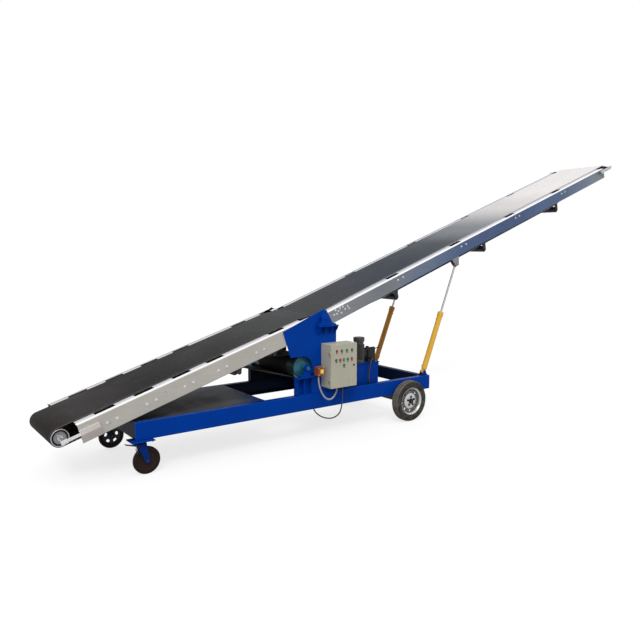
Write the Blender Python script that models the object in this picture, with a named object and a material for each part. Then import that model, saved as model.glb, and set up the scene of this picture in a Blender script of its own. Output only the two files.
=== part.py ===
"""Portable belt conveyor: a wheeled chassis, a fixed tail section and a boom that two cylinders raise.

X runs from the tail towards the head, Y away from the control cabinet's side, Z up, in metres.
The origin lies on the floor under the middle of the whole machine.
"""

import math

import bmesh
import bpy
from mathutils import Matrix, Vector

# Clearances
GAP = 0.0003
PIN_PLAY = 0.0005
SWING_GAP = 0.006

# Chassis
CHASSIS_LENGTH = 4.216
CHASSIS_WIDTH = 1.155
RAIL_TOP = 0.56
RAIL_HEIGHT = 0.19
RAIL_FLANGE = 0.075
RAIL_WALL = 0.008
CROSS_WIDTH = 0.075
CROSS_STARTS = {"front": 0.004, "middle": 1.500, "pack": 2.700, "rear": 4.136}
DECK_OVERHANG = 0.003
DECK_WALL = 0.004
DECK_LIP = 0.03

# Rear wheels and axle
REAR_AXLE_X = 3.76
TYRE_RADIUS = 0.275
TYRE_WIDTH = 0.12
RIM_RADIUS = 0.166
RIM_LIP = 0.016
RIM_HALF_WIDTH = 0.052
WHEEL_INSET = 0.0085
SPINDLE_RADIUS = 0.02
AXLE_SQUARE = 0.08
AXLE_WALL = 0.006
VENT_RADIUS = 0.013
VENT_CIRCLE = 0.138
VENTS = 8
WHEEL_SIDES = 20
TYRE_SIDES = 24
DRUM_SIDES = 20
BAR_SIDES = 12

# Casters
CASTER_X = 0.07
CASTER_INSET = 0.0395
CASTER_RADIUS = 0.145
CASTER_WIDTH = 0.046
CASTER_TRAIL = 0.055
CASTER_PLATE = (0.245, 0.187, 0.01)
CASTER_RACE_RADIUS = 0.042
CASTER_RACE_DEPTH = 0.010
KINGPIN_RADIUS = 0.012
KINGPIN_DEPTH = 0.038
CASTER_PIN_RADIUS = 0.01
FORK_WALL = 0.007
FORK_HALF_GAP = 0.030
SPOKES = 5

# Pivot of the boom, and the two sections that meet there
PIVOT = (2.375, 1.475)
SHAFT_RADIUS = 0.02
TAIL_SLOPE = math.radians(17.3)
BOOM_SLOPE = math.radians(19.8)
SECTION_BOTTOM = -0.135
TAIL_TOP = 0.060
BOOM_TOP = 0.025
SIDE_WALL = 0.005
TOP_FLANGE = 0.06
TAIL_LOWER_FLANGE = 0.03
BOOM_LOWER_FLANGE = 0.084
DOUBLER_WALL = 0.007
TAIL_PLATES = (-3.055, -0.16)
TAIL_BED_END = -0.27
TAKE_UP_COVER = 0.198
BOOM_PLATES = (-0.06, 6.44)
BED_WALL = 0.003
BELT_INSET = 0.145
BELT_THICKNESS = 0.01

# Rollers: places along a section, radii
TAIL_ROLLERS = (-2.74, -2.31, -1.87, -1.45, -0.61)
BOOM_ROLLERS = (1.32, 2.61, 3.90, 5.14)
CARRY_RADIUS = 0.028
SLOT_LENGTH = 0.20
SLOT_WIDTH = 0.05
SLOT_INSET = 0.105
TAIL_DRUM_U = -3.212
TAIL_DRUM_RADIUS = 0.088
HEAD_DRUM_U = 6.66
HEAD_DRUM_RADIUS = 0.03
IDLER_RADIUS = 0.045
IDLERS = {"return_idler_1": 1.29, "return_idler_2": 3.17, "return_idler_3": 5.06}
IDLER_W = -0.26
IDLER_HALF_INSET = 0.09
RETURN_START = (0.030, -0.145)
LOWER_BELT_END = (2.385, 1.322)
SNUB_RADIUS = 0.05
SNUB_FRONT_U = -1.25
SNUB_REAR = (1.70, 1.10)
GUIDE_ROLLER = (2.20, 1.26)
GUIDE_RADIUS = 0.035
ROLLER_INSET = 0.125
STUB_RADIUS = 0.012

# Drive drum between the pedestals
DRUM = (2.13, 0.885)
DRUM_RADIUS = 0.14
DRUM_WALL = 0.009
DRUM_INSET = 0.079
DRUM_CAP_DEPTH = 0.018
DRUM_SHAFT_RADIUS = 0.025
DRUM_SHAFT_REACH = 0.047

# Tower plates and pedestals
TOWER_INSET = 0.0185
TOWER_WALL = 0.008
TOWER_RIGHT = 2.58
TOWER_CROWNS = {
    "near": ((2.440, 1.547), (2.425, 1.566), (2.395, 1.577), (2.365, 1.574)),
    "far": ((2.470, 1.496), (2.455, 1.506), (2.340, 1.506), (2.300, 1.496))}
BLOCK_RADII = {"near": 0.052, "far": 0.034}
TOWER_FOOT_LEFT = 2.212
CUTOUT_TOP = 1.03
CUTOUT_CORNER = 0.10
PEDESTAL_LEFT = 1.985
PEDESTAL_TOP = 0.775
PEDESTAL_RIBS = (1.985, 2.085, 2.1955)
PEDESTAL_WALL = 0.008
SHELF_REACH = 0.041
LEDGE_TOP = 1.385
LEDGE_REACH = 0.081
LEDGE_X = (2.27, 2.56)
LEDGE_WALL = 0.012
TIE_SQUARE = 0.06
TIE_WALL = 0.005
TIE = (2.50, 1.10)

# Cylinders that raise the boom
CYLINDER_INSET = 0.0775
FOOT_PIN = (4.165, 0.600)
EYE_PIN = (4.78, 2.095)
BARREL_RADIUS = 0.038
BARREL_START = 0.045
BARREL_END = 0.87
BARREL_NECK = 0.018
ROD_RADIUS = 0.015
ROD_START = 0.735
EYE_RADIUS = 0.03
EYE_WIDTH = 0.044
EAR_WALL = 0.01
EAR_GAP = 0.003
LIFT_PIN_RADIUS = 0.0125

# Control cabinet, terminal box and power pack
CABINET_X = (2.35, 2.75)
CABINET_Z = (0.634, 1.166)
CABINET_DEPTH = 0.196
CABINET_WALL = 0.003
DOOR_RIM = 0.015
DOOR_GAP = 0.0005
HINGE_OUT = 0.006
HINGE_RADIUS = 0.004
BUTTON_RADIUS = 0.011
BUTTON_HEIGHT = 0.013
TERMINAL_BOX_X = (2.20, 2.29)
TERMINAL_BOX_Z = (0.80, 0.905)
TERMINAL_BOX_REACH = (0.061, 0.141)
TANK_START = 0.15
TANK_LENGTH = 0.53
TANK_Y = (-0.45, -0.10)
TANK_TOP = 0.825
TANK_WALL = 0.008
TRAY_WALL = 0.008
FILLER_RADIUS = 0.02
MOTOR_PLACE = (0.27, 0.10)
MOTOR_RADIUS = 0.068
MOTOR_TOP = 1.155
VALVE_PLACE = (0.375, 0.03)
VALVE_SIZE = (0.12, 0.12, 0.19)

# Cords
CONDUIT_RADIUS = 0.011
CABLE_RADIUS = 0.008
HOSE_RADIUS = 0.009
GLAND_RADIUS = 0.014
GLAND_LENGTH = 0.018
LEAD = 0.03
CABINET_GLAND_REACH = 0.101
PORT_Z = 0.46
PORTS = (("pack", -0.44), ("rear", -0.40), ("rear", 0.40))

SIDES = {"near": -1, "far": 1}
HALF_WIDTH = CHASSIS_WIDTH / 2
RAIL_BOTTOM = RAIL_TOP - RAIL_HEIGHT
RAIL_INNER = HALF_WIDTH - RAIL_FLANGE
WHEEL_Y = HALF_WIDTH + WHEEL_INSET + TYRE_WIDTH / 2
CASTER_Y = HALF_WIDTH - CASTER_INSET
CYLINDER_Y = HALF_WIDTH - CYLINDER_INSET
TOWER_FACE = HALF_WIDTH - TOWER_INSET
TOWER_INNER = TOWER_FACE - TOWER_WALL
TAIL_FACE = TOWER_INNER - GAP
BOOM_FACE = TOWER_INNER - SWING_GAP
BELT_HALF_WIDTH = BOOM_FACE - BELT_INSET
SLOT_Y = BOOM_FACE - SLOT_INSET
ROLLER_HALF = BOOM_FACE - ROLLER_INSET
DRUM_FACE = ROLLER_HALF - 0.008
SHELF_EDGE = TOWER_FACE + SHELF_REACH
LEDGE_EDGE = TOWER_FACE + LEDGE_REACH
DRUM_HALF = TOWER_FACE - DRUM_INSET
DRUM_SHAFT_END = TOWER_FACE + DRUM_SHAFT_REACH
CABINET_FRONT = TOWER_FACE + CABINET_DEPTH
CABINET_GLAND_Y = -(TOWER_FACE + CABINET_GLAND_REACH)
TERMINAL_BOX = (TERMINAL_BOX_X, tuple(TOWER_FACE + reach for reach in TERMINAL_BOX_REACH), TERMINAL_BOX_Z)
TANK_X = CROSS_STARTS["pack"] + TANK_START
DECK_END = CROSS_STARTS["middle"] + CROSS_WIDTH + DECK_OVERHANG
TANK = ((TANK_X, TANK_X + TANK_LENGTH), TANK_Y, TANK_TOP)
MOTOR = (TANK_X + MOTOR_PLACE[0], TANK_Y[0] + MOTOR_PLACE[1])
VALVE = (
    (TANK_X + VALVE_PLACE[0], TANK_X + VALVE_PLACE[0] + VALVE_SIZE[0]),
    (TANK_Y[0] + VALVE_PLACE[1], TANK_Y[0] + VALVE_PLACE[1] + VALVE_SIZE[1]),
    TANK_TOP + VALVE_SIZE[2])
TAIL_BED_TOP = TAIL_TOP - SIDE_WALL - GAP
BOOM_BED_TOP = BOOM_TOP - SIDE_WALL - GAP
TAIL_DRUM_W = TAIL_BED_TOP - TAIL_DRUM_RADIUS
HEAD_DRUM_W = BOOM_BED_TOP - HEAD_DRUM_RADIUS
BELT_HALF = BELT_THICKNESS / 2
BELT_OFFSET = GAP + BELT_HALF
RETURN_W = IDLER_W + IDLER_RADIUS + BELT_OFFSET


def world_of(u, w, slope):
    """The (x, z) of a point u along and w above a section that slopes through the pivot."""
    x = PIVOT[0] + u * math.cos(slope) - w * math.sin(slope)
    z = PIVOT[1] + u * math.sin(slope) + w * math.cos(slope)
    return x, z


X_LOW = world_of(TAIL_DRUM_U, TAIL_DRUM_W, TAIL_SLOPE)[0] - TAIL_DRUM_RADIUS - GAP - BELT_THICKNESS
X_HIGH = world_of(HEAD_DRUM_U, HEAD_DRUM_W, BOOM_SLOPE)[0] + HEAD_DRUM_RADIUS + GAP + BELT_THICKNESS
Y_LOW = -CABINET_FRONT - BUTTON_HEIGHT
Y_HIGH = WHEEL_Y + TYRE_WIDTH / 2
ORIGIN = Vector(((X_LOW + X_HIGH) / 2, (Y_LOW + Y_HIGH) / 2, 0))


def clear_scene():
    for old in list(bpy.data.objects):
        bpy.data.objects.remove(old, do_unlink=True)


def paint(name, colour, roughness, metallic=0.0):
    material = bpy.data.materials.new(name)
    material.use_nodes = True
    shader = material.node_tree.nodes["Principled BSDF"]
    shader.inputs["Base Color"].default_value = (*colour, 1)
    shader.inputs["Roughness"].default_value = roughness
    shader.inputs["Metallic"].default_value = metallic
    return material


def empty(name, place, parent=None, tilt=0.0):
    """A frame at a joint's axis; its tilt turns X upwards."""
    holder = bpy.data.objects.new(name, None)
    bpy.context.scene.collection.objects.link(holder)
    holder.location = place
    holder.rotation_euler = (0, -tilt, 0)
    holder.parent = parent
    return holder


def finished(bm):
    """The mesh of a closed shape, its faces turned outwards."""
    if bm.calc_volume(signed=True) < 0:
        bmesh.ops.reverse_faces(bm, faces=bm.faces)
    mesh = bpy.data.meshes.new("shape")
    bm.to_mesh(mesh)
    bm.free()
    return mesh


def block(x, y, z):
    """A box between the two ends given on each axis, in either order."""
    bm = bmesh.new()
    bmesh.ops.create_cube(bm, size=1)
    for vert in bm.verts:
        for axis, ends in enumerate((x, y, z)):
            vert.co[axis] = min(ends) if vert.co[axis] < 0 else max(ends)
    return finished(bm)


def plate(outline, ends, axis="Y"):
    """An outline extruded between two ends: (x, z) points along Y, (y, z) along X, (x, y) along Z."""
    places = {
        "X": lambda a, b, along: (along, a, b),
        "Y": lambda a, b, along: (a, along, b),
        "Z": lambda a, b, along: (a, b, along),
    }[axis]
    bm = bmesh.new()
    low = [bm.verts.new(places(a, b, min(ends))) for a, b in outline]
    high = [bm.verts.new(places(a, b, max(ends))) for a, b in outline]
    bm.faces.new(low)
    bm.faces.new(reversed(high))
    count = len(outline)
    for i in range(count):
        j = (i + 1) % count
        bm.faces.new((low[j], low[i], high[i], high[j]))
    return finished(bm)


def bar(start, end, radius, sides=16):
    """A round bar between two points."""
    start = Vector(start)
    along = Vector(end) - start
    bm = bmesh.new()
    bmesh.ops.create_cone(
        bm, cap_ends=True, segments=sides, radius1=radius, radius2=radius, depth=along.length)
    turn = along.to_track_quat("Z", "Y").to_matrix().to_4x4()
    bm.transform(Matrix.Translation(start + along / 2) @ turn)
    return finished(bm)


def clear_radius(radius, sides):
    """The corner radius of a many-sided hole whose flats still clear this radius."""
    return radius / math.cos(math.pi / sides)


def hole(start, end, radius, sides=16):
    """A cutter for a round hole that clears this radius all round."""
    return bar(start, end, clear_radius(radius, sides), sides)


def turned(profile, sides, centre=(0, 0)):
    """An outline of (radius, y) points turned about a Y axis through centre (x, z)."""
    bm = bmesh.new()
    verts = [bm.verts.new((centre[0], y, centre[1] - radius)) for radius, y in profile]
    edges = [bm.edges.new(pair) for pair in zip(verts, verts[1:])]
    if profile[0][0] > 0 or profile[-1][0] > 0:
        edges.append(bm.edges.new((verts[-1], verts[0])))
    bmesh.ops.spin(
        bm, geom=verts + edges, cent=(centre[0], 0, centre[1]), axis=(0, 1, 0),
        angle=2 * math.pi, steps=sides)
    bmesh.ops.remove_doubles(bm, verts=bm.verts, dist=2e-5)
    return finished(bm)


def arc(centre, radius, start, end, steps):
    """Points on an arc, its angles in degrees."""
    angles = [math.radians(start + (end - start) * i / steps) for i in range(steps + 1)]
    return [(centre[0] + radius * math.cos(a), centre[1] + radius * math.sin(a)) for a in angles]


def channel(length, face, low, high, wall, top_flange, low_flange):
    """A channel along X whose web's outer face is at face, flanges towards the centreline."""
    sign = 1 if face > 0 else -1
    inner = face - sign * wall
    outline = [
        (face, low), (face - sign * low_flange, low), (face - sign * low_flange, low + wall),
        (inner, low + wall), (inner, high - wall), (face - sign * top_flange, high - wall),
        (face - sign * top_flange, high), (face, high)]
    return plate(outline, length, "X")


def piece(name, material, parent, shapes, cuts=()):
    """One solid: the shapes joined into one and the cuts taken out of it."""
    body = bpy.data.objects.new(name, shapes[0])
    bpy.context.scene.collection.objects.link(body)
    body.parent = parent
    body.data.materials.append(material)
    for operation, others in (("UNION", shapes[1:]), ("DIFFERENCE", cuts)):
        for mesh in others:
            helper = bpy.data.objects.new(f"{name} {operation.lower()} shape", mesh)
            bpy.context.scene.collection.objects.link(helper)
            helper.parent = parent
            helper.hide_render = True
            helper.display_type = "WIRE"
            modifier = body.modifiers.new(operation.title(), "BOOLEAN")
            modifier.operation = operation
            modifier.object = helper
            modifier.solver = "EXACT"
    body.data.shade_smooth()
    body.data.set_sharp_from_angle(angle=math.radians(35))
    return body


def belt_route(wheels, arc_step=math.radians(15)):
    """Points along a belt's middle: straight between wheels, its chords touching each on its turning side.

    Each wheel is (x, z, radius, turn), where turn is 1 anticlockwise, -1 clockwise, and radius is
    that of the belt's middle, 0 for a plain point.
    """
    headings = []
    for (x, z, radius, turn), (x2, z2, radius2, turn2) in zip(wheels, wheels[1:]):
        reach = math.hypot(x2 - x, z2 - z)
        lean = math.asin((turn2 * radius2 - turn * radius) / reach)
        headings.append(math.atan2(z2 - z, x2 - x) - lean)
    points = []
    for i, (x, z, radius, turn) in enumerate(wheels):
        first = headings[max(i - 1, 0)]
        last = headings[min(i, len(headings) - 1)]
        if radius == 0:
            points.append((x, z))
            continue
        sweep = (last - first) * turn % (2 * math.pi)
        steps = max(1, math.ceil(sweep / arc_step))
        corner = turn * radius / math.cos(sweep / steps / 2)
        for step in range(steps):
            heading = first + turn * sweep * (step + 0.5) / steps
            points.append((x + corner * math.sin(heading), z - corner * math.cos(heading)))
    return points


def ribbon(points, thickness, half_width):
    """A strip of even thickness along (x, z) points, from -half_width to half_width."""
    bm = bmesh.new()
    rows = []
    for i, point in enumerate(points):
        here = Vector(point)
        before = (here - Vector(points[i - 1])).normalized() if i else None
        after = (Vector(points[i + 1]) - here).normalized() if i + 1 < len(points) else None
        along = ((before or after) + (after or before)).normalized()
        mitre = (before or after).dot(along)
        normal = Vector((-along.y, along.x)) * thickness / 2 / mitre
        rows.append([
            bm.verts.new((here.x + side * normal.x, y, here.y + side * normal.y))
            for side, y in ((-1, -half_width), (1, -half_width), (1, half_width), (-1, half_width))])
    bm.faces.new(rows[0])
    bm.faces.new(reversed(rows[-1]))
    for row, following in zip(rows, rows[1:]):
        for k in range(4):
            j = (k + 1) % 4
            bm.faces.new((row[k], following[k], following[j], row[j]))
    return finished(bm)


def cord(name, material, parent, route, radius, spacing=4.5, resolution=1):
    """A tube along a smooth curve through the route's points."""
    points = [Vector(p) for p in route]
    ends = [2 * points[0] - points[1], *points, 2 * points[-1] - points[-2]]
    smooth = []
    for a, b, c, d in zip(ends, ends[1:], ends[2:], ends[3:]):
        steps = max(1, round((c - b).length / (spacing * 2 * radius)))
        for step in range(steps):
            t = step / steps
            smooth.append(0.5 * (
                2 * b + (c - a) * t + (2 * a - 5 * b + 4 * c - d) * t * t
                + (3 * b - a - 3 * c + d) * t ** 3))
    smooth.append(points[-1])
    curve = bpy.data.curves.new(name, "CURVE")
    curve.dimensions = "3D"
    curve.bevel_depth = radius
    curve.bevel_resolution = resolution
    curve.use_fill_caps = True
    spline = curve.splines.new("POLY")
    spline.points.add(len(smooth) - 1)
    for spot, point in zip(spline.points, smooth):
        spot.co = (*point, 1)
    curve.materials.append(material)
    tube = bpy.data.objects.new(name, curve)
    bpy.context.scene.collection.objects.link(tube)
    tube.parent = parent
    return tube


def build_chassis(machine, blue, dark):
    high = RAIL_TOP - RAIL_WALL - GAP
    low = RAIL_BOTTOM + RAIL_WALL + GAP
    reach = HALF_WIDTH - RAIL_WALL - GAP
    length, width, thickness = CASTER_PLATE
    for side, sign in SIDES.items():
        rail = channel(
            (0, CHASSIS_LENGTH), sign * HALF_WIDTH, RAIL_BOTTOM, RAIL_TOP, RAIL_WALL, RAIL_FLANGE,
            RAIL_FLANGE)
        y = sign * CASTER_Y
        plate_low = RAIL_BOTTOM - thickness
        pad = block((CASTER_X - length / 2, CASTER_X + length / 2), (y - width / 2, y + width / 2),
                    (plate_low, RAIL_BOTTOM + 0.001))
        race = bar((CASTER_X, y, plate_low - CASTER_RACE_DEPTH), (CASTER_X, y, plate_low + 0.002),
                   CASTER_RACE_RADIUS, BAR_SIDES)
        kingpin = bar((CASTER_X, y, plate_low - KINGPIN_DEPTH), (CASTER_X, y, plate_low), KINGPIN_RADIUS, 8)
        piece(f"rail_{side}", blue, machine, [rail, pad, race, kingpin])
    for place, start in CROSS_STARTS.items():
        end = start + CROSS_WIDTH
        outline = [
            (start, low), (end, low), (end, low + RAIL_WALL), (start + RAIL_WALL, low + RAIL_WALL),
            (start + RAIL_WALL, high - RAIL_WALL), (end, high - RAIL_WALL), (end, high), (start, high)]
        shapes = [plate(outline, (-reach, reach))]
        if place == "pack":
            tray = (start + 0.01, TANK[0][1] + 0.03)
            shapes.append(block(tray, (-reach, reach), (low, low + TRAY_WALL)))
        for port_place, y in PORTS:
            if port_place == place:
                shapes.append(bar((start - GLAND_LENGTH, y, PORT_Z), (start + 0.002, y, PORT_Z),
                    GLAND_RADIUS, 8))
                shapes.append(bar((start - 0.008, y, PORT_Z), (start + 0.002, y, PORT_Z),
                    GLAND_RADIUS + 0.006, 6))
        piece(f"cross_{place}", blue, machine, shapes)
    inner = RAIL_INNER - GAP
    bottom = RAIL_TOP - RAIL_WALL
    deck = [
        (-inner, RAIL_TOP), (-inner, bottom), (-inner, RAIL_TOP - DECK_LIP),
        (-inner + DECK_WALL, RAIL_TOP - DECK_LIP),
        (-inner + DECK_WALL, bottom), (inner - DECK_WALL, bottom), (inner - DECK_WALL, RAIL_TOP - DECK_LIP),
        (inner, RAIL_TOP - DECK_LIP), (inner, RAIL_TOP)]
    front_notch = [
        block((-1, CROSS_STARTS["front"] + CROSS_WIDTH + GAP), (sign * (inner - 0.05), sign), (0, bottom))
        for sign in (-1, 1)]
    back_notch = [
        block((CROSS_STARTS["middle"] - GAP, 2), (sign * (inner - 0.05), sign), (0, bottom))
        for sign in (-1, 1)]
    sheet = plate(deck, (CROSS_STARTS["front"], DECK_END), "X")
    piece("deck_plate", dark, machine, [sheet], front_notch + back_notch)


def build_rear_axle(machine, black):
    middle = TYRE_RADIUS
    half = AXLE_SQUARE / 2
    beam_end = HALF_WIDTH - RAIL_FLANGE / 2 + half
    beam = block((REAR_AXLE_X - half, REAR_AXLE_X + half), (-beam_end, beam_end),
        (middle - half, middle + half))
    shapes = [beam]
    for sign in SIDES.values():
        pad_y = sign * (HALF_WIDTH - RAIL_FLANGE / 2)
        shapes.append(block(
            (REAR_AXLE_X - 2 * half, REAR_AXLE_X + 2 * half), (pad_y - half * 0.8, pad_y + half * 0.8),
            (middle + half - 0.01, RAIL_BOTTOM - GAP)))
        shapes.append(bar(
            (REAR_AXLE_X, sign * (beam_end - 0.02), middle),
            (REAR_AXLE_X, sign * (WHEEL_Y + 0.042), middle), SPINDLE_RADIUS, BAR_SIDES))
    hollow = half - AXLE_WALL
    deep = RAIL_INNER - 0.1
    bore = block((REAR_AXLE_X - hollow, REAR_AXLE_X + hollow), (-deep, deep),
        (middle - hollow, middle + hollow))
    opening = bar((REAR_AXLE_X, deep - 0.1, 0), (REAR_AXLE_X, deep - 0.1, middle), 0.01, 6)
    piece("axle", black, machine, shapes, [bore, opening])


def rim_profile(sign):
    """(radius, y) of a pressed steel wheel with its hub, outer side towards sign."""
    lip = RIM_RADIUS + RIM_LIP
    wall = 0.005
    bore = clear_radius(SPINDLE_RADIUS + PIN_PLAY, WHEEL_SIDES)
    rows = [
        (0, 0.056), (0.030, 0.056), (0.036, 0.036), (0.075, 0.036), (0.120, 0.020),
        (RIM_RADIUS - wall, 0.016), (RIM_RADIUS - wall, 0.034), (lip - 0.004, RIM_HALF_WIDTH),
        (lip, RIM_HALF_WIDTH), (RIM_RADIUS, 0.036), (RIM_RADIUS, -0.036), (lip, -RIM_HALF_WIDTH),
        (lip - 0.004, -RIM_HALF_WIDTH), (RIM_RADIUS - wall, -0.034), (RIM_RADIUS - wall, 0.008),
        (0.120, 0.012), (0.075, 0.028), (0.046, 0.028), (0.046, -0.035), (bore, -0.035), (bore, 0.044),
        (0, 0.044)]
    return [(radius, sign * y) for radius, y in rows]


def tyre_profile():
    """(radius, y) of the tyre's section, its beads against the rim."""
    lip = RIM_RADIUS + RIM_LIP
    half = TYRE_WIDTH / 2
    right = [
        (clear_radius(RIM_RADIUS + GAP, TYRE_SIDES), 0.0350), (lip + 0.004, RIM_HALF_WIDTH - 0.001),
        (0.215, half - 0.001), (0.232, half), (0.262, half - 0.008), (TYRE_RADIUS, half - 0.022)]
    left = [(radius, -y) for radius, y in reversed(right)]
    return right + left


def build_rear_wheels(machine, rubber, steel):
    for side, sign in SIDES.items():
        hub = empty(f"rear_wheel_axis_{side}", (REAR_AXLE_X, sign * WHEEL_Y, TYRE_RADIUS), machine)
        vents = []
        for i in range(VENTS):
            angle = 2 * math.pi * i / VENTS
            x, z = VENT_CIRCLE * math.cos(angle), VENT_CIRCLE * math.sin(angle)
            vents.append(bar((x, -0.03, z), (x, 0.03, z), VENT_RADIUS, 6))
        piece(f"rear_rim_{side}", steel, hub, [turned(rim_profile(sign), WHEEL_SIDES)], vents)
        piece(f"rear_tyre_{side}", rubber, hub, [turned(tyre_profile(), TYRE_SIDES)])


def caster_wheel_shape():
    """A cast spoked wheel with its tyre: the turned disc and the openings between its spokes."""
    half = CASTER_WIDTH / 2
    bore = clear_radius(CASTER_PIN_RADIUS + PIN_PLAY, WHEEL_SIDES)
    hub_half = FORK_HALF_GAP - 0.001
    right = [
        (bore, hub_half), (0.032, hub_half), (0.036, 0.012), (0.090, 0.010), (0.108, half),
        (0.136, half - 0.003), (CASTER_RADIUS, half - 0.012)]
    left = [(radius, -y) for radius, y in reversed(right)]
    cuts = []
    for i in range(SPOKES):
        middle = 360 * i / SPOKES + 90
        outline = arc((0, 0), 0.086, middle - 24, middle + 24, 2)
        outline += arc((0, 0), 0.048, middle + 15, middle - 15, 1)
        cuts.append(plate(outline, (-half, half)))
    return [turned(right + left, WHEEL_SIDES)], cuts


def build_casters(machine, blue, dark):
    race_low = RAIL_BOTTOM - CASTER_PLATE[2] - CASTER_RACE_DEPTH
    crown_high = race_low - 0.012
    crown_low = crown_high - 0.012
    for side, sign in SIDES.items():
        y = sign * CASTER_Y
        swivel = empty(f"caster_swivel_{side}", (CASTER_X, y, 0), machine)
        axle = (CASTER_TRAIL, CASTER_RADIUS)
        neck = bar((0, 0, crown_high - 0.001), (0, 0, race_low - PIN_PLAY), CASTER_RACE_RADIUS, BAR_SIDES)
        outer = FORK_HALF_GAP + FORK_WALL
        crown = block((-0.050, 0.050), (-outer, outer), (crown_low, crown_high))
        shapes = [crown, neck]
        leg = [(-0.050, crown_high), (-0.048, crown_low - 0.01)]
        leg += arc(axle, 0.026, 200, 380, 4) + [(0.050, crown_low - 0.005), (0.050, crown_high)]
        for arm in (-1, 1):
            shapes.append(plate(leg, (arm * FORK_HALF_GAP, arm * outer)))
        shapes.append(bar((axle[0], -outer - 0.006, axle[1]), (axle[0], outer + 0.006, axle[1]),
            CASTER_PIN_RADIUS, BAR_SIDES))
        kingpin_hole = hole((0, 0, crown_low - 0.02), (0, 0, RAIL_BOTTOM), KINGPIN_RADIUS + PIN_PLAY, 8)
        pedal = [
            (-0.0500, crown_low - 0.016), (-0.075, crown_low - 0.012), (-0.165, crown_low + 0.014),
            (-0.165, crown_low + 0.020), (-0.075, crown_low - 0.004), (-0.0500, crown_low - 0.002)]
        hanger = block((-0.062, -0.046), (-0.030, 0.030), (crown_low - 0.02, crown_low + 0.004))
        shapes += [plate(pedal, (-0.022, 0.022)), hanger]
        piece(f"caster_fork_{side}", blue, swivel, shapes, [kingpin_hole])

        roll = empty(f"caster_axle_{side}", (axle[0], 0, axle[1]), swivel)
        wheel, openings = caster_wheel_shape()
        piece(f"caster_wheel_{side}", dark, roll, wheel, openings if side == "far" else ())


def tower_outline(crown):
    """(x, z) outline of a tower plate, its lower left cut out for the drum, with its crown over the pivot."""
    corner = (TOWER_FOOT_LEFT - CUTOUT_CORNER, CUTOUT_TOP - CUTOUT_CORNER)
    inner = arc(corner, CUTOUT_CORNER, 0, 90, 4)
    return [
        (TOWER_RIGHT, RAIL_TOP + GAP), (TOWER_RIGHT, 1.395), (2.524, 1.403), *crown, (1.800, 1.345),
        (1.804, 1.325), (1.904, CUTOUT_TOP), *reversed(inner[1:]),
        (TOWER_FOOT_LEFT, corner[1]), (TOWER_FOOT_LEFT, RAIL_TOP + GAP)]


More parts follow.
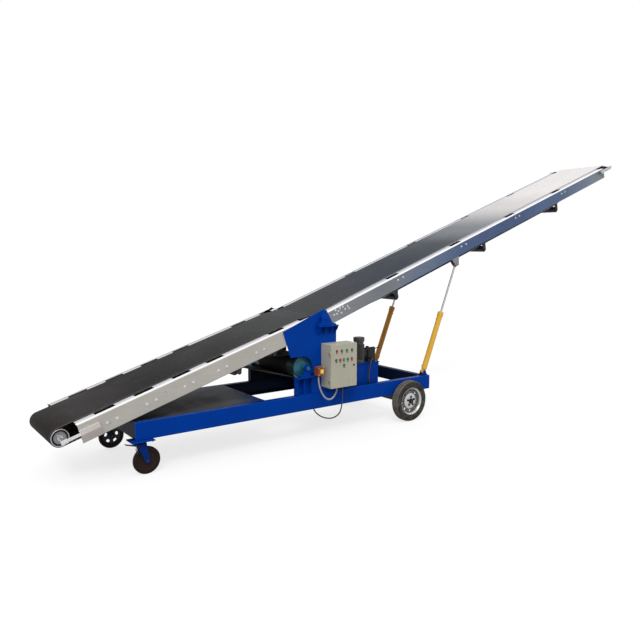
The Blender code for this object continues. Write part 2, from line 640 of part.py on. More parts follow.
def build_tower(machine, blue, steel):
    for side, sign in SIDES.items():
        inner = TOWER_INNER
        shapes = [plate(tower_outline(TOWER_CROWNS[side]), (sign * inner, sign * TOWER_FACE))]
        start = sign * (TOWER_FACE - 0.002)
        shapes.append(block(LEDGE_X, (start, sign * LEDGE_EDGE), (LEDGE_TOP - LEDGE_WALL, LEDGE_TOP)))
        for x in (LEDGE_X[0] + 0.02, PIVOT[0], PIVOT[0] + 0.10, LEDGE_X[1] - 0.008):
            gusset = [
                (start, LEDGE_TOP - 0.125), (start, LEDGE_TOP - 0.002),
                (sign * (LEDGE_EDGE - 0.01), LEDGE_TOP - 0.002),
                (sign * (LEDGE_EDGE - 0.01), LEDGE_TOP - 0.03)]
            shapes.append(plate(gusset, (x - 0.004, x + 0.004), "X"))
        foot = block((TOWER_FOOT_LEFT, TOWER_RIGHT), (sign * (RAIL_INNER + 0.002), sign * (inner + 0.002)),
                     (RAIL_TOP + GAP, RAIL_TOP + GAP + TOWER_WALL))
        shaft_hole = hole((PIVOT[0], sign * (inner - 0.05), PIVOT[1]),
            (PIVOT[0], sign * (TOWER_FACE + 0.04), PIVOT[1]),
                          SHAFT_RADIUS + PIN_PLAY, BAR_SIDES)
        shapes.append(foot)

        right = TOWER_FOOT_LEFT + 0.010
        top = PEDESTAL_TOP
        inner_y = sign * RAIL_INNER
        back = sign * (RAIL_INNER + PEDESTAL_WALL)
        low = RAIL_TOP + GAP
        shapes += [
            block((PEDESTAL_LEFT, right), (inner_y, back), (low, top)),
            block((PEDESTAL_LEFT, right), (inner_y, sign * HALF_WIDTH), (low, low + PEDESTAL_WALL)),
            block((PEDESTAL_LEFT - 0.01, right), (inner_y, sign * SHELF_EDGE), (top - PEDESTAL_WALL, top))]
        for x in PEDESTAL_RIBS:
            rib = [
                (inner_y, low), (sign * HALF_WIDTH, low), (sign * HALF_WIDTH, top - 0.03),
                (sign * SHELF_EDGE, top - 0.006), (inner_y, top - 0.006)]
            shapes.append(plate(rib, (x, x + PEDESTAL_WALL), "X"))

        half = 0.022
        middle_y = sign * (TOWER_FACE + LEDGE_EDGE) / 2
        base = block((PIVOT[0] - 0.095, PIVOT[0] + 0.095), (middle_y - half, middle_y + half),
                     (LEDGE_TOP - 0.001, LEDGE_TOP + 0.022))
        body = arc(PIVOT, BLOCK_RADII[side], -20, 200, 7)
        body = [(PIVOT[0] + 0.066, LEDGE_TOP + 0.01)] + body + [(PIVOT[0] - 0.066, LEDGE_TOP + 0.01)]
        housing = plate(body, (middle_y - half * 0.8, middle_y + half * 0.8))
        bore = hole((PIVOT[0], middle_y - 0.1, PIVOT[1]), (PIVOT[0], middle_y + 0.1, PIVOT[1]),
                   SHAFT_RADIUS + GAP, BAR_SIDES)
        piece(f"tower_{side}", blue, machine, [*shapes, base, housing], [shaft_hole, bore])
    end = (TOWER_FACE + LEDGE_EDGE) / 2 + 0.026
    shaft = bar((PIVOT[0], -end, PIVOT[1]), (PIVOT[0], end, PIVOT[1]), SHAFT_RADIUS, BAR_SIDES)
    piece("pivot_shaft", steel, machine, [shaft])
    reach = TOWER_INNER - GAP
    x, z = TIE
    half = TIE_SQUARE / 2
    hollow = half - TIE_WALL
    tube = block((x - half, x + half), (-reach, reach), (z - half, z + half))
    bore = block((x - hollow, x + hollow), (-1, 1), (z - hollow, z + hollow))
    piece("tower_tie", blue, machine, [tube], [bore])


def build_drive(machine, blue, green, orange):
    half = DRUM_HALF
    cap = half + DRUM_CAP_DEPTH
    shaft = DRUM_SHAFT_RADIUS
    inner = DRUM_RADIUS - DRUM_WALL
    outside = [
        (0, DRUM_SHAFT_END), (shaft, DRUM_SHAFT_END), (shaft, cap + 0.004), (0.058, cap + 0.004),
        (0.112, half + 0.006), (0.130, half), (DRUM_RADIUS, half)]
    profile = outside + [(radius, -y) for radius, y in reversed(outside)]
    hollow = [(0, half - 0.02), (inner, half - 0.02), (inner, -half + 0.02), (0, -half + 0.02)]
    cable_hole = bar((DRUM[0] + 0.08, 0, DRUM[1]), (DRUM[0] + 0.08, HALF_WIDTH, DRUM[1]), 0.008, 6)
    drum = turned(profile, DRUM_SIDES, DRUM)
    piece("drive_drum", green, machine, [drum], [turned(hollow, DRUM_SIDES // 2, DRUM), cable_hole])
    box_x, box_y, box_z = TERMINAL_BOX
    for side, sign in SIDES.items():
        arm = [(2.045, PEDESTAL_TOP + GAP), (2.175, PEDESTAL_TOP + GAP)] + arc(DRUM, 0.046, -30, 215, 7)
        shapes = [
            plate(arm, (sign * (TOWER_FACE + 0.006), sign * (TOWER_FACE + 0.028))),
            block((2.03, 2.19), (sign * (TOWER_FACE - 0.029), sign * (TOWER_FACE + 0.039)),
            (PEDESTAL_TOP + GAP, PEDESTAL_TOP + GAP + 0.012)),
            bar((DRUM[0], sign * (TOWER_FACE - 0.003), DRUM[1]),
            (DRUM[0], sign * (TOWER_FACE + 0.041), DRUM[1]),
                0.040, BAR_SIDES)]
        if side == "near":
            shapes.append(block((2.150, box_x[1] - 0.01), (-TOWER_FACE - 0.017, -TOWER_FACE - 0.027),
                                (box_z[0] + 0.02, box_z[1] - 0.03)))
            shapes.append(block((box_x[0] + 0.02, box_x[1] - 0.02), (-TOWER_FACE - 0.021, -box_y[0] + GAP),
                                (box_z[0] + 0.03, box_z[1] - 0.04)))
        bore = hole((DRUM[0], sign * (TOWER_FACE - 0.05), DRUM[1]),
            (DRUM[0], sign * (TOWER_FACE + 0.15), DRUM[1]),
                    shaft + GAP, BAR_SIDES)
        piece(f"drum_bracket_{side}", blue, machine, shapes, [bore])
    face = block((box_x[0] + 0.03, box_x[1] - 0.03), (-box_y[1] + 0.002, -box_y[1] - 0.004),
                 (box_z[0] + 0.03, box_z[1] - 0.03))
    gland_x = (box_x[0] + box_x[1]) / 2 - 0.01
    gland_y = -(box_y[0] + box_y[1]) / 2
    gland = bar((gland_x, gland_y, box_z[0] - GLAND_LENGTH), (gland_x, gland_y, box_z[0] + 0.002),
        GLAND_RADIUS, 8)
    case = block(box_x, (-box_y[0], -box_y[1]), box_z)
    piece("terminal_box", orange, machine, [case, face, gland])


def section_side(name, material, parent, face, ends, low, high, low_flange, extra=(), cuts=()):
    """A side channel of a section, in the section's own frame."""
    web = channel(ends, face, low, high, SIDE_WALL, TOP_FLANGE, low_flange)
    return piece(name, material, parent, [web, *extra], cuts)


def bed_with_rollers(name, material, parent, half_width, ends, top, places):
    """The sheet under the belt, slotted beside each carrying roller, which hangs in ears below it."""
    shapes = [block(ends, (-half_width, half_width), (top - BED_WALL, top))]
    cuts = []
    roller_w = top - CARRY_RADIUS - 0.004
    for u in places:
        for sign in (-1, 1):
            y = sign * SLOT_Y
            cuts.append(block((u - SLOT_LENGTH / 2, u + SLOT_LENGTH / 2),
                (y - SLOT_WIDTH / 2, y + SLOT_WIDTH / 2),
                              (top - 0.02, top + 0.02)))
            ear = sign * (SLOT_Y + SLOT_WIDTH / 2 + 0.008)
            shapes.append(block((u - 0.03, u + 0.03), (ear - 0.003, ear + 0.003),
                (roller_w - 0.03, top - 0.001)))
        end = SLOT_Y + SLOT_WIDTH / 2 + 0.010
        shapes.append(bar((u, -end, roller_w), (u, end, roller_w), 0.010, 6))
        shapes.append(bar((u, -ROLLER_HALF, roller_w), (u, ROLLER_HALF, roller_w), CARRY_RADIUS, 8))
    return piece(name, material, parent, shapes, cuts)


def build_tail(machine, grey, steel, dark):
    section = empty("tail_section", (PIVOT[0], 0, PIVOT[1]), machine, TAIL_SLOPE)
    for side, sign in SIDES.items():
        section_side(f"tail_side_{side}", grey, section, sign * TAIL_FACE, TAIL_PLATES,
                     SECTION_BOTTOM, TAIL_TOP, TAIL_LOWER_FLANGE)
        start = TAIL_PLATES[0]
        face = TAIL_FACE + GAP
        cover = [
            (sign * face, SECTION_BOTTOM + 0.004), (sign * (face + 0.028), SECTION_BOTTOM + 0.010),
            (sign * (face + 0.050), TAIL_DRUM_W - 0.022), (sign * (face + 0.050), TAIL_DRUM_W - 0.004),
            (sign * (face + 0.020), TAIL_TOP - 0.062), (sign * face, TAIL_TOP - 0.056)]
        folded = plate(cover, (start - 0.004, start + TAKE_UP_COVER), "X")
        flat = block((TAIL_DRUM_U - 0.03, start + 0.05), (sign * (face + 0.010), sign * (face + 0.022)),
                     (TAIL_DRUM_W - 0.016, TAIL_DRUM_W + 0.016))
        bore = hole((TAIL_DRUM_U, sign * (TAIL_FACE - 0.05), TAIL_DRUM_W),
            (TAIL_DRUM_U, sign * (TAIL_FACE + 0.1), TAIL_DRUM_W),
                    STUB_RADIUS + GAP, BAR_SIDES)
        piece(f"take_up_{side}", steel, section, [folded, flat], [bore])
    bed_with_rollers("tail_bed", steel, section, TAIL_FACE - SIDE_WALL - GAP, (TAIL_PLATES[0] + 0.01, TAIL_BED_END),
                     TAIL_BED_TOP, TAIL_ROLLERS)
    rim = TAIL_DRUM_RADIUS
    end = TAIL_FACE + GAP + 0.028
    half = [
        (0, end), (STUB_RADIUS, end), (STUB_RADIUS, DRUM_FACE), (0.030, DRUM_FACE),
        (0.034, DRUM_FACE - 0.016),
        (rim - 0.008, DRUM_FACE - 0.016), (rim - 0.008, DRUM_FACE), (rim, DRUM_FACE)]
    profile = half + [(radius, -y) for radius, y in reversed(half)]
    deep = DRUM_FACE - 0.042
    hollow = [(0, deep), (rim - 0.008, deep), (rim - 0.008, -deep), (0, -deep)]
    vent = bar((TAIL_DRUM_U + 0.05, DRUM_FACE - 0.1, TAIL_DRUM_W),
        (TAIL_DRUM_U + 0.05, DRUM_FACE + 0.04, TAIL_DRUM_W),
               0.006, 6)
    centre = (TAIL_DRUM_U, TAIL_DRUM_W)
    piece("tail_drum", steel, section, [turned(profile, DRUM_SIDES, centre)],
        [turned(hollow, DRUM_SIDES // 2, centre), vent])

    snubs = {
        "snub_front": (SNUB_FRONT_U, TAIL_DRUM_W - TAIL_DRUM_RADIUS - 2 * BELT_OFFSET - SNUB_RADIUS),
        "snub_rear": section_place(SNUB_REAR, TAIL_SLOPE)}
    for name, (u, w) in snubs.items():
        hang_roller(name, dark, section, u, w, SNUB_RADIUS, TAIL_FACE - TAIL_LOWER_FLANGE + 0.004,
            ROLLER_HALF)
    reach = TOWER_INNER - GAP
    x, z = GUIDE_ROLLER
    roller = bar((x, -ROLLER_HALF, z), (x, ROLLER_HALF, z), GUIDE_RADIUS, BAR_SIDES)
    piece("guide_roller", dark, machine, [roller, bar((x, -reach, z), (x, reach, z), STUB_RADIUS, 8)])
    return section


def section_place(point, slope):
    """(u, w) in a section's frame of an (x, z) point of the machine."""
    x, z = point[0] - PIVOT[0], point[1] - PIVOT[1]
    return x * math.cos(slope) + z * math.sin(slope), z * math.cos(slope) - x * math.sin(slope)


def hang_roller(name, material, parent, u, w, radius, hanger_y, half):
    """A roller under a section, its stubs in two hanger plates that meet the side plates' lower flanges."""
    shapes = [bar((u, -half, w), (u, half, w), radius, 10)]
    top = SECTION_BOTTOM - GAP
    shapes.append(bar((u, -hanger_y - 0.005, w), (u, hanger_y + 0.005, w), STUB_RADIUS, 6))
    for sign in (-1, 1):
        hanger = [(u - 0.044, top - 0.002)] + arc((u, min(w, top - 0.02)), 0.026, 185, 355, 3)
        hanger.append((u + 0.044, top - 0.002))
        shapes.append(plate(hanger, (sign * (hanger_y - 0.004), sign * (hanger_y + 0.004))))
        shapes.append(block((u - 0.046, u + 0.046), (sign * (hanger_y - 0.005), sign * (hanger_y + 0.022)),
                            (top - 0.006, top)))
    return piece(name, material, parent, shapes)


def build_boom(machine, grey, steel, dark):
    boom = empty("boom_pivot", (PIVOT[0], 0, PIVOT[1]), machine, BOOM_SLOPE)
    eye_u, eye_w = section_place(EYE_PIN, BOOM_SLOPE)
    for side, sign in SIDES.items():
        flange_low = SECTION_BOTTOM
        ears = []
        for edge in (-1, 1):
            ear_inner = CYLINDER_Y + edge * (EYE_WIDTH / 2 + EAR_GAP)
            ear_outer = ear_inner + edge * EAR_WALL
            outline = [
                (eye_u - 0.085, flange_low + 0.002), (eye_u - 0.030, eye_w - 0.032),
                (eye_u + 0.026, eye_w - 0.032), (eye_u + 0.065, flange_low + 0.002)]
            ears.append(plate(outline, (sign * ear_inner, sign * ear_outer)))
        doubler_face = BOOM_FACE - SIDE_WALL - DOUBLER_WALL
        doubler = block((BOOM_PLATES[0] + 0.002, BOOM_PLATES[0] + 0.30),
                        (sign * (doubler_face + DOUBLER_WALL + 0.002), sign * doubler_face),
                        (SECTION_BOTTOM + 0.002, BOOM_TOP - 0.002))
        pivot_hole = hole((0, sign * (BOOM_FACE - 0.05), 0), (0, sign * (BOOM_FACE + 0.05), 0),
                          SHAFT_RADIUS + PIN_PLAY, BAR_SIDES)
        heel = plate([(BOOM_PLATES[0] - 0.01, -0.06), (BOOM_PLATES[0] + 0.09, SECTION_BOTTOM - 0.01),
                      (BOOM_PLATES[0] - 0.01, SECTION_BOTTOM - 0.01)],
                      (sign * (BOOM_FACE - 0.15), sign * (BOOM_FACE + 0.05)))
        clear = block((BOOM_PLATES[0] - 0.01, 0.10),
            (sign * (BOOM_FACE - 0.15), sign * (doubler_face - 0.001)),
                      (SECTION_BOTTOM - 0.01, SECTION_BOTTOM + 0.03))
        section_side(f"boom_side_{side}", grey, boom, sign * BOOM_FACE, BOOM_PLATES, SECTION_BOTTOM, BOOM_TOP,
                     BOOM_LOWER_FLANGE, [doubler, *ears], [pivot_hole, heel, clear])
        tube_y = sign * (BOOM_FACE + GAP + 0.025)
        tube = bar((6.29, tube_y, HEAD_DRUM_W), (6.60, tube_y, HEAD_DRUM_W), 0.025, BAR_SIDES)
        pad = block((6.32, 6.42), (sign * (BOOM_FACE + GAP), tube_y),
            (HEAD_DRUM_W - 0.02, HEAD_DRUM_W + 0.02))
        tongue = block((6.56, HEAD_DRUM_U + 0.02), (sign * (BOOM_FACE - 0.002), sign * (BOOM_FACE + 0.012)),
                       (HEAD_DRUM_W - 0.018, HEAD_DRUM_W + 0.018))
        bore = hole((HEAD_DRUM_U, sign * (BOOM_FACE - 0.1), HEAD_DRUM_W),
            (HEAD_DRUM_U, sign * (BOOM_FACE + 0.1), HEAD_DRUM_W),
                    STUB_RADIUS + GAP, BAR_SIDES)
        piece(f"head_slide_{side}", steel, boom, [tube, pad, tongue], [bore])
    bed_with_rollers("boom_bed", steel, boom, BOOM_FACE - SIDE_WALL - DOUBLER_WALL - GAP,
        (0.11, BOOM_PLATES[1]),
                     BOOM_BED_TOP, BOOM_ROLLERS)
    end = BOOM_FACE + 0.012
    centre = (HEAD_DRUM_U, HEAD_DRUM_W)
    half = [
        (0, end), (STUB_RADIUS, end), (STUB_RADIUS, ROLLER_HALF + 0.035), (0.026, ROLLER_HALF + 0.030),
        (0.026, DRUM_FACE), (HEAD_DRUM_RADIUS, DRUM_FACE)]
    profile = half + [(radius, -y) for radius, y in reversed(half)]
    piece("head_drum", dark, boom, [turned(profile, BAR_SIDES, centre)])
    for name, u in IDLERS.items():
        hanger_y = BOOM_FACE - BOOM_LOWER_FLANGE + 0.006
        hang_roller(name, dark, boom, u, IDLER_W, IDLER_RADIUS, hanger_y, BOOM_FACE - IDLER_HALF_INSET)
    return boom


def build_belts(machine, section, boom, rubber):
    """The belt is one loop, parted at the boom's pivot: both halves follow the same rollers."""
    tail_radius = TAIL_DRUM_RADIUS + BELT_OFFSET
    snub_radius = SNUB_RADIUS + BELT_OFFSET
    snub_w = TAIL_DRUM_W - TAIL_DRUM_RADIUS - 2 * BELT_OFFSET - SNUB_RADIUS
    joint = section_place(world_of(-0.004, BOOM_BED_TOP + BELT_OFFSET, BOOM_SLOPE), TAIL_SLOPE)
    drum = section_place(DRUM, TAIL_SLOPE)
    rear = section_place(SNUB_REAR, TAIL_SLOPE)
    guide = section_place(GUIDE_ROLLER, TAIL_SLOPE)
    end = section_place(LOWER_BELT_END, TAIL_SLOPE)
    route = belt_route([
        (*joint, 0, 1), (-0.255, TAIL_BED_TOP + BELT_OFFSET, 0, 1),
        (TAIL_DRUM_U, TAIL_DRUM_W, tail_radius, 1),
        (SNUB_FRONT_U, snub_w, snub_radius, -1), (*drum, DRUM_RADIUS + BELT_OFFSET, 1),
        (*rear, snub_radius, -1),
        (*guide, GUIDE_RADIUS + BELT_OFFSET, -1), (*end, 0, 1)])
    piece("belt_lower", rubber, section, [ribbon(route, BELT_THICKNESS, BELT_HALF_WIDTH)])
    route = belt_route([
        (*RETURN_START, 0, 1), (IDLERS["return_idler_1"], RETURN_W, 0, 1),
        (IDLERS["return_idler_3"], RETURN_W, 0, 1),
        (HEAD_DRUM_U, HEAD_DRUM_W, HEAD_DRUM_RADIUS + BELT_OFFSET, 1),
        (0.004, BOOM_BED_TOP + BELT_OFFSET, 0, 1)])
    piece("belt_upper", rubber, boom, [ribbon(route, BELT_THICKNESS, BELT_HALF_WIDTH)])


def build_cylinders(machine, yellow, steel, blue):
    reach = Vector((EYE_PIN[0] - FOOT_PIN[0], 0, EYE_PIN[1] - FOOT_PIN[1]))
    lean = math.atan2(reach.z, reach.x) - math.pi / 2
    for side, sign in SIDES.items():
        y = sign * CYLINDER_Y
        ear_in = EYE_WIDTH / 2 + EAR_GAP
        ear_out = ear_in + EAR_WALL
        base = block((FOOT_PIN[0] - 0.05, CHASSIS_LENGTH), (y - ear_out, y + ear_out),
            (RAIL_TOP + GAP, RAIL_TOP + 0.008))
        shapes = [base]
        for edge in (-1, 1):
            ear = [(FOOT_PIN[0] - 0.042, RAIL_TOP + 0.002)] + arc(FOOT_PIN, 0.026, 180, 0, 5)
            ear += [(FOOT_PIN[0] + 0.042, RAIL_TOP + 0.002)]
            shapes.append(plate(ear, (y + edge * ear_in, y + edge * ear_out)))
        shapes.append(bar((FOOT_PIN[0], y - ear_out - 0.006, FOOT_PIN[1]),
            (FOOT_PIN[0], y + ear_out + 0.006, FOOT_PIN[1]),
                          LIFT_PIN_RADIUS, BAR_SIDES))
        piece(f"cylinder_foot_{side}", blue, machine, shapes)

        foot = empty(f"barrel_axis_{side}", (FOOT_PIN[0], y, FOOT_PIN[1]), machine, lean)
        half = EYE_WIDTH / 2
        eye = bar((0, -half, 0), (0, half, 0), EYE_RADIUS, 16)
        tube = bar((0, 0, BARREL_START), (0, 0, BARREL_END), BARREL_RADIUS, 16)
        neck = bar((0, 0, EYE_RADIUS / 2), (0, 0, BARREL_START + 0.01), BARREL_NECK, 12)
        gland = bar((0, 0, BARREL_END - 0.05), (0, 0, BARREL_END + 0.012), BARREL_RADIUS + 0.005, 16)
        bore = bar((0, 0, BARREL_START + 0.02), (0, 0, BARREL_END + 0.1), ROD_RADIUS + GAP, BAR_SIDES)
        pin_hole = hole((0, -0.1, 0), (0, 0.1, 0), LIFT_PIN_RADIUS + PIN_PLAY, BAR_SIDES)
        piece(f"barrel_{side}", yellow, foot, [tube, eye, neck, gland], [bore, pin_hole])
        rod = bar((0, 0, ROD_START), (0, 0, reach.length), ROD_RADIUS, BAR_SIDES)
        rod_eye = bar((0, -half, reach.length), (0, half, reach.length), EYE_RADIUS, 16)
        piece(f"rod_{side}", steel, foot, [rod, rod_eye])


def build_cabinet(machine, cream):
    x, z = CABINET_X, CABINET_Z
    back = -(TOWER_FACE + GAP)
    lip = -(CABINET_FRONT - DOOR_RIM - DOOR_GAP)
    wall = CABINET_WALL
    hinge = (x[0] - HINGE_OUT, -(CABINET_FRONT - DOOR_RIM / 2))
    case = block(x, (back, lip), z)
    hollow = block((x[0] + wall, x[1] - wall), (back - wall, lip - 1), (z[0] + wall, z[1] - wall))
    glands = []
    for gland_x in (2.51, 2.60):
        glands.append(bar((gland_x, CABINET_GLAND_Y, z[0] - GLAND_LENGTH),
                          (gland_x, CABINET_GLAND_Y, z[0] + 0.002), GLAND_RADIUS, 8))
    knuckles = []
    door_knuckles = []
    for low in (z[0] + 0.07, z[1] - 0.13):
        knuckles.append(bar((*hinge, low), (*hinge, low + 0.029), HINGE_RADIUS, 8))
        knuckles.append(block((hinge[0] - 0.002, hinge[0] + 0.0025), (hinge[1], lip + 0.02),
            (low, low + 0.029)))
        knuckles.append(block((hinge[0] - 0.002, x[0] + 0.001), (lip + 0.006, lip + 0.02),
            (low, low + 0.029)))
        door_knuckles.append(bar((*hinge, low + 0.030), (*hinge, low + 0.060), HINGE_RADIUS, 8))
        door_knuckles.append(block((hinge[0], x[0] + 0.001), (hinge[1] - 0.003, hinge[1] + 0.001),
            (low + 0.030, low + 0.060)))
    piece("cabinet", cream, machine, [case, *glands, *knuckles], [hollow])

    pin = empty("door_hinge", (hinge[0], hinge[1], 0), machine)

    def local(mesh):
        mesh.transform(Matrix.Translation((-hinge[0], -hinge[1], 0)))
        return mesh

    rim = -(CABINET_FRONT - DOOR_RIM)
    panel = block(x, (rim, -CABINET_FRONT), z)
    pan = block((x[0] + wall, x[1] - wall), (rim + 1, -CABINET_FRONT + wall), (z[0] + wall, z[1] - wall))
    width, height = x[1] - x[0], z[1] - z[0]
    controls = [(u, 0.155, BUTTON_RADIUS) for u in (0.22, 0.41, 0.605, 0.805)]
    controls += [(u, 0.36, BUTTON_RADIUS * 0.9) for u in (0.20, 0.35, 0.49, 0.64, 0.80)]
    controls += [(0.50, 0.49, BUTTON_RADIUS * 0.9), (0.88, 0.51, BUTTON_RADIUS)]
    knobs = []
    for across, down, radius in controls:
        place = (x[0] + across * width, z[1] - down * height)
        knobs.append(bar((place[0], -CABINET_FRONT + 0.001, place[1]),
                         (place[0], -CABINET_FRONT - BUTTON_HEIGHT, place[1]), radius, 8))
    shapes = [local(mesh) for mesh in (panel, *knobs, *door_knuckles)]
    piece("cabinet_door", cream, pin, shapes, [local(pan)])


def build_power_pack(machine, blue, dark, black):
    x, y, top = TANK
    low = RAIL_BOTTOM + RAIL_WALL + GAP + TRAY_WALL + GAP
    filler = (x[1] - 0.06, y[1] - 0.07)
    body = block(x, y, (low, top - 0.008))
    lid = block((x[0] - 0.01, x[1] + 0.01), (y[0] - 0.01, y[1] + 0.01), (top - 0.012, top))
    neck = bar((*filler, top - 0.004), (*filler, top + 0.035), FILLER_RADIUS + 0.008, 10)
    wall = TANK_WALL
    hollow = block((x[0] + wall, x[1] - wall), (y[0] + wall, y[1] - wall), (low + wall, top - wall))
    hole = bar((*filler, top - 0.05), (*filler, top + 0.1), FILLER_RADIUS, 10)
    piece("oil_tank", blue, machine, [body, lid, neck], [hollow, hole])
    mx, my = MOTOR
    base = top + GAP
    shapes = [
        bar((mx, my, base + 0.03), (mx, my, MOTOR_TOP - 0.09), MOTOR_RADIUS, 16),
        bar((mx, my, base), (mx, my, base + 0.035), MOTOR_RADIUS * 1.15, 16),
        bar((mx, my, MOTOR_TOP - 0.095), (mx, my, MOTOR_TOP), MOTOR_RADIUS * 1.1, 16)]
    fins = [block((mx - MOTOR_RADIUS - 0.006, mx + MOTOR_RADIUS + 0.006), (my - 0.004, my + 0.004),
                  (base + 0.02, MOTOR_TOP - 0.09))]
    fins.append(block((mx - 0.004, mx + 0.004), (my - MOTOR_RADIUS - 0.006, my + MOTOR_RADIUS + 0.006),
                      (base + 0.02, MOTOR_TOP - 0.09)))
    piece("pump_motor", dark, machine, shapes + fins)
    vx, vy, vtop = VALVE
    mid = (vy[0] + vy[1]) / 2
    shapes = [
        block(vx, vy, (base, vtop - 0.03)),
        bar((vx[0] - 0.012, mid, vtop - 0.035), (vx[1] + 0.03, mid, vtop - 0.035), 0.030, 10),
        bar((vx[0] + 0.03, mid, vtop - 0.06), (vx[0] + 0.03, mid, vtop + 0.012), 0.022, 8),
        bar((vx[1] + 0.01, mid, vtop - 0.032), (vx[1] + 0.10, mid, vtop - 0.026), 0.006, 6),
        bar((vx[0] + 0.03, vy[0] - 0.014, top + 0.05), (vx[0] + 0.03, vy[0] + 0.01, top + 0.05),
        GLAND_RADIUS, 8),
        bar((vx[1] - 0.03, vy[1] - 0.01, top + 0.05), (vx[1] - 0.03, vy[1] + 0.014, top + 0.05),
        GLAND_RADIUS, 8)]
    piece("valve_block", black, machine, shapes)


def build_cords(machine, grey, black):
    """Each cord leaves its gland straight, over its first LEAD, and ends the same way."""
    box_x, box_y, box_z = TERMINAL_BOX
    gland_x = (box_x[0] + box_x[1]) / 2 - 0.01
    gland_y = -(box_y[0] + box_y[1]) / 2
    box_low = box_z[0] - GLAND_LENGTH - GAP
    case_low = CABINET_Z[0] - GLAND_LENGTH - GAP
    cord("conduit", grey, machine, [
        (gland_x, gland_y, box_low), (gland_x, gland_y, box_low - LEAD), (2.238, -0.664, 0.700),
        (2.262, -0.672, 0.610), (2.315, -0.680, 0.525), (2.382, -0.684, 0.492), (2.445, -0.680, 0.510),
        (2.495, -0.667, 0.560), (2.51, CABINET_GLAND_Y, case_low - LEAD), (2.51, CABINET_GLAND_Y, case_low)],
        CONDUIT_RADIUS)
    inlet_x = CROSS_STARTS["pack"] - GLAND_LENGTH - GAP
    cord("power_cable", black, machine, [
        (2.60, CABINET_GLAND_Y, case_low), (2.60, CABINET_GLAND_Y, case_low - LEAD), (2.605, -0.655, 0.50),
        (2.608, -0.640, 0.38), (2.590, -0.610, 0.27), (2.520, -0.560, 0.212), (2.420, -0.505, 0.225),
        (2.335, -0.462, 0.295), (2.310, -0.440, 0.385), (2.350, -0.430, 0.445), (2.470, -0.435, 0.462),
        (inlet_x - LEAD, -0.44, PORT_Z), (inlet_x, -0.44, PORT_Z)], CABLE_RADIUS)
    port_x = CROSS_STARTS["rear"] - GLAND_LENGTH - GAP
    valve_x, valve_y, _ = VALVE
    low_port = TANK[2] + 0.05
    start = (valve_x[0] + 0.03, valve_y[0] - 0.014 - GAP)
    cord("hose_near", black, machine, [
        (*start, low_port), (start[0], start[1] - LEAD, low_port), (3.230, -0.484, 0.862),
        (3.200, -0.494, 0.810),
        (3.180, -0.488, 0.700), (3.190, -0.484, 0.560), (3.260, -0.484, 0.460), (3.420, -0.486, 0.418),
        (3.700, -0.484, 0.405), (3.950, -0.455, 0.425), (port_x - LEAD, -0.40, PORT_Z),
        (port_x, -0.40, PORT_Z)],
        HOSE_RADIUS)
    start = (valve_x[1] - 0.03, valve_y[1] + 0.014 + GAP)
    cord("hose_far", black, machine, [
        (*start, low_port), (start[0], start[1] + LEAD, low_port), (3.325, -0.200, 0.882),
        (3.360, -0.130, 0.870),
        (3.430, -0.070, 0.800), (3.480, 0.000, 0.650), (3.560, 0.080, 0.500), (3.700, 0.200, 0.440),
        (3.900, 0.330, 0.430), (port_x - LEAD, 0.40, PORT_Z), (port_x, 0.40, PORT_Z)], HOSE_RADIUS)


def main():
    clear_scene()
    blue = paint("chassis_blue", (0.004, 0.035, 0.29), 0.35)
    deck = paint("deck_dark", (0.03, 0.04, 0.06), 0.6)
    sheet = paint("side_sheet", (0.42, 0.40, 0.37), 0.4, 0.4)
    upper_sheet = paint("boom_sheet", (0.20, 0.23, 0.29), 0.35, 0.5)
    steel = paint("bright_steel", (0.55, 0.55, 0.56), 0.3, 0.9)
    rubber = paint("belt_rubber", (0.045, 0.045, 0.047), 0.6)
    tyre = paint("tyre_rubber", (0.05, 0.045, 0.04), 0.8)
    dark = paint("dark_steel", (0.06, 0.06, 0.06), 0.5, 0.3)
    green = paint("drum_green", (0.01, 0.06, 0.06), 0.4)
    orange = paint("terminal_orange", (0.30, 0.07, 0.01), 0.45)
    yellow = paint("cylinder_yellow", (0.75, 0.45, 0.06), 0.4)
    cream = paint("cabinet_cream", (0.45, 0.43, 0.30), 0.5)
    conduit = paint("conduit_grey", (0.35, 0.35, 0.36), 0.5, 0.2)
    black = paint("black_parts", (0.015, 0.015, 0.015), 0.5)

    machine = empty("machine", -ORIGIN)
    build_chassis(machine, blue, deck)
    build_rear_axle(machine, dark)
    build_rear_wheels(machine, tyre, steel)
    build_casters(machine, blue, dark)
    build_tower(machine, blue, steel)
    build_drive(machine, blue, green, orange)
    section = build_tail(machine, sheet, steel, dark)
    boom = build_boom(machine, upper_sheet, steel, dark)
    build_belts(machine, section, boom, rubber)
    build_cylinders(machine, yellow, steel, blue)
    build_cabinet(machine, cream)
    build_power_pack(machine, blue, dark, black)
    build_cords(machine, conduit, black)


main()
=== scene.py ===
"""Portable belt conveyor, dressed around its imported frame. Each surface is worked out with numpy.

Machine places are (x, y, z) in metres: x from the tail to the head, y away from the cabinet, z up.
A section's places are (u, y, w): u runs along it from the boom's pivot and w stands square to it.
"""

import math

import bpy
import numpy as np
from mathutils import Matrix


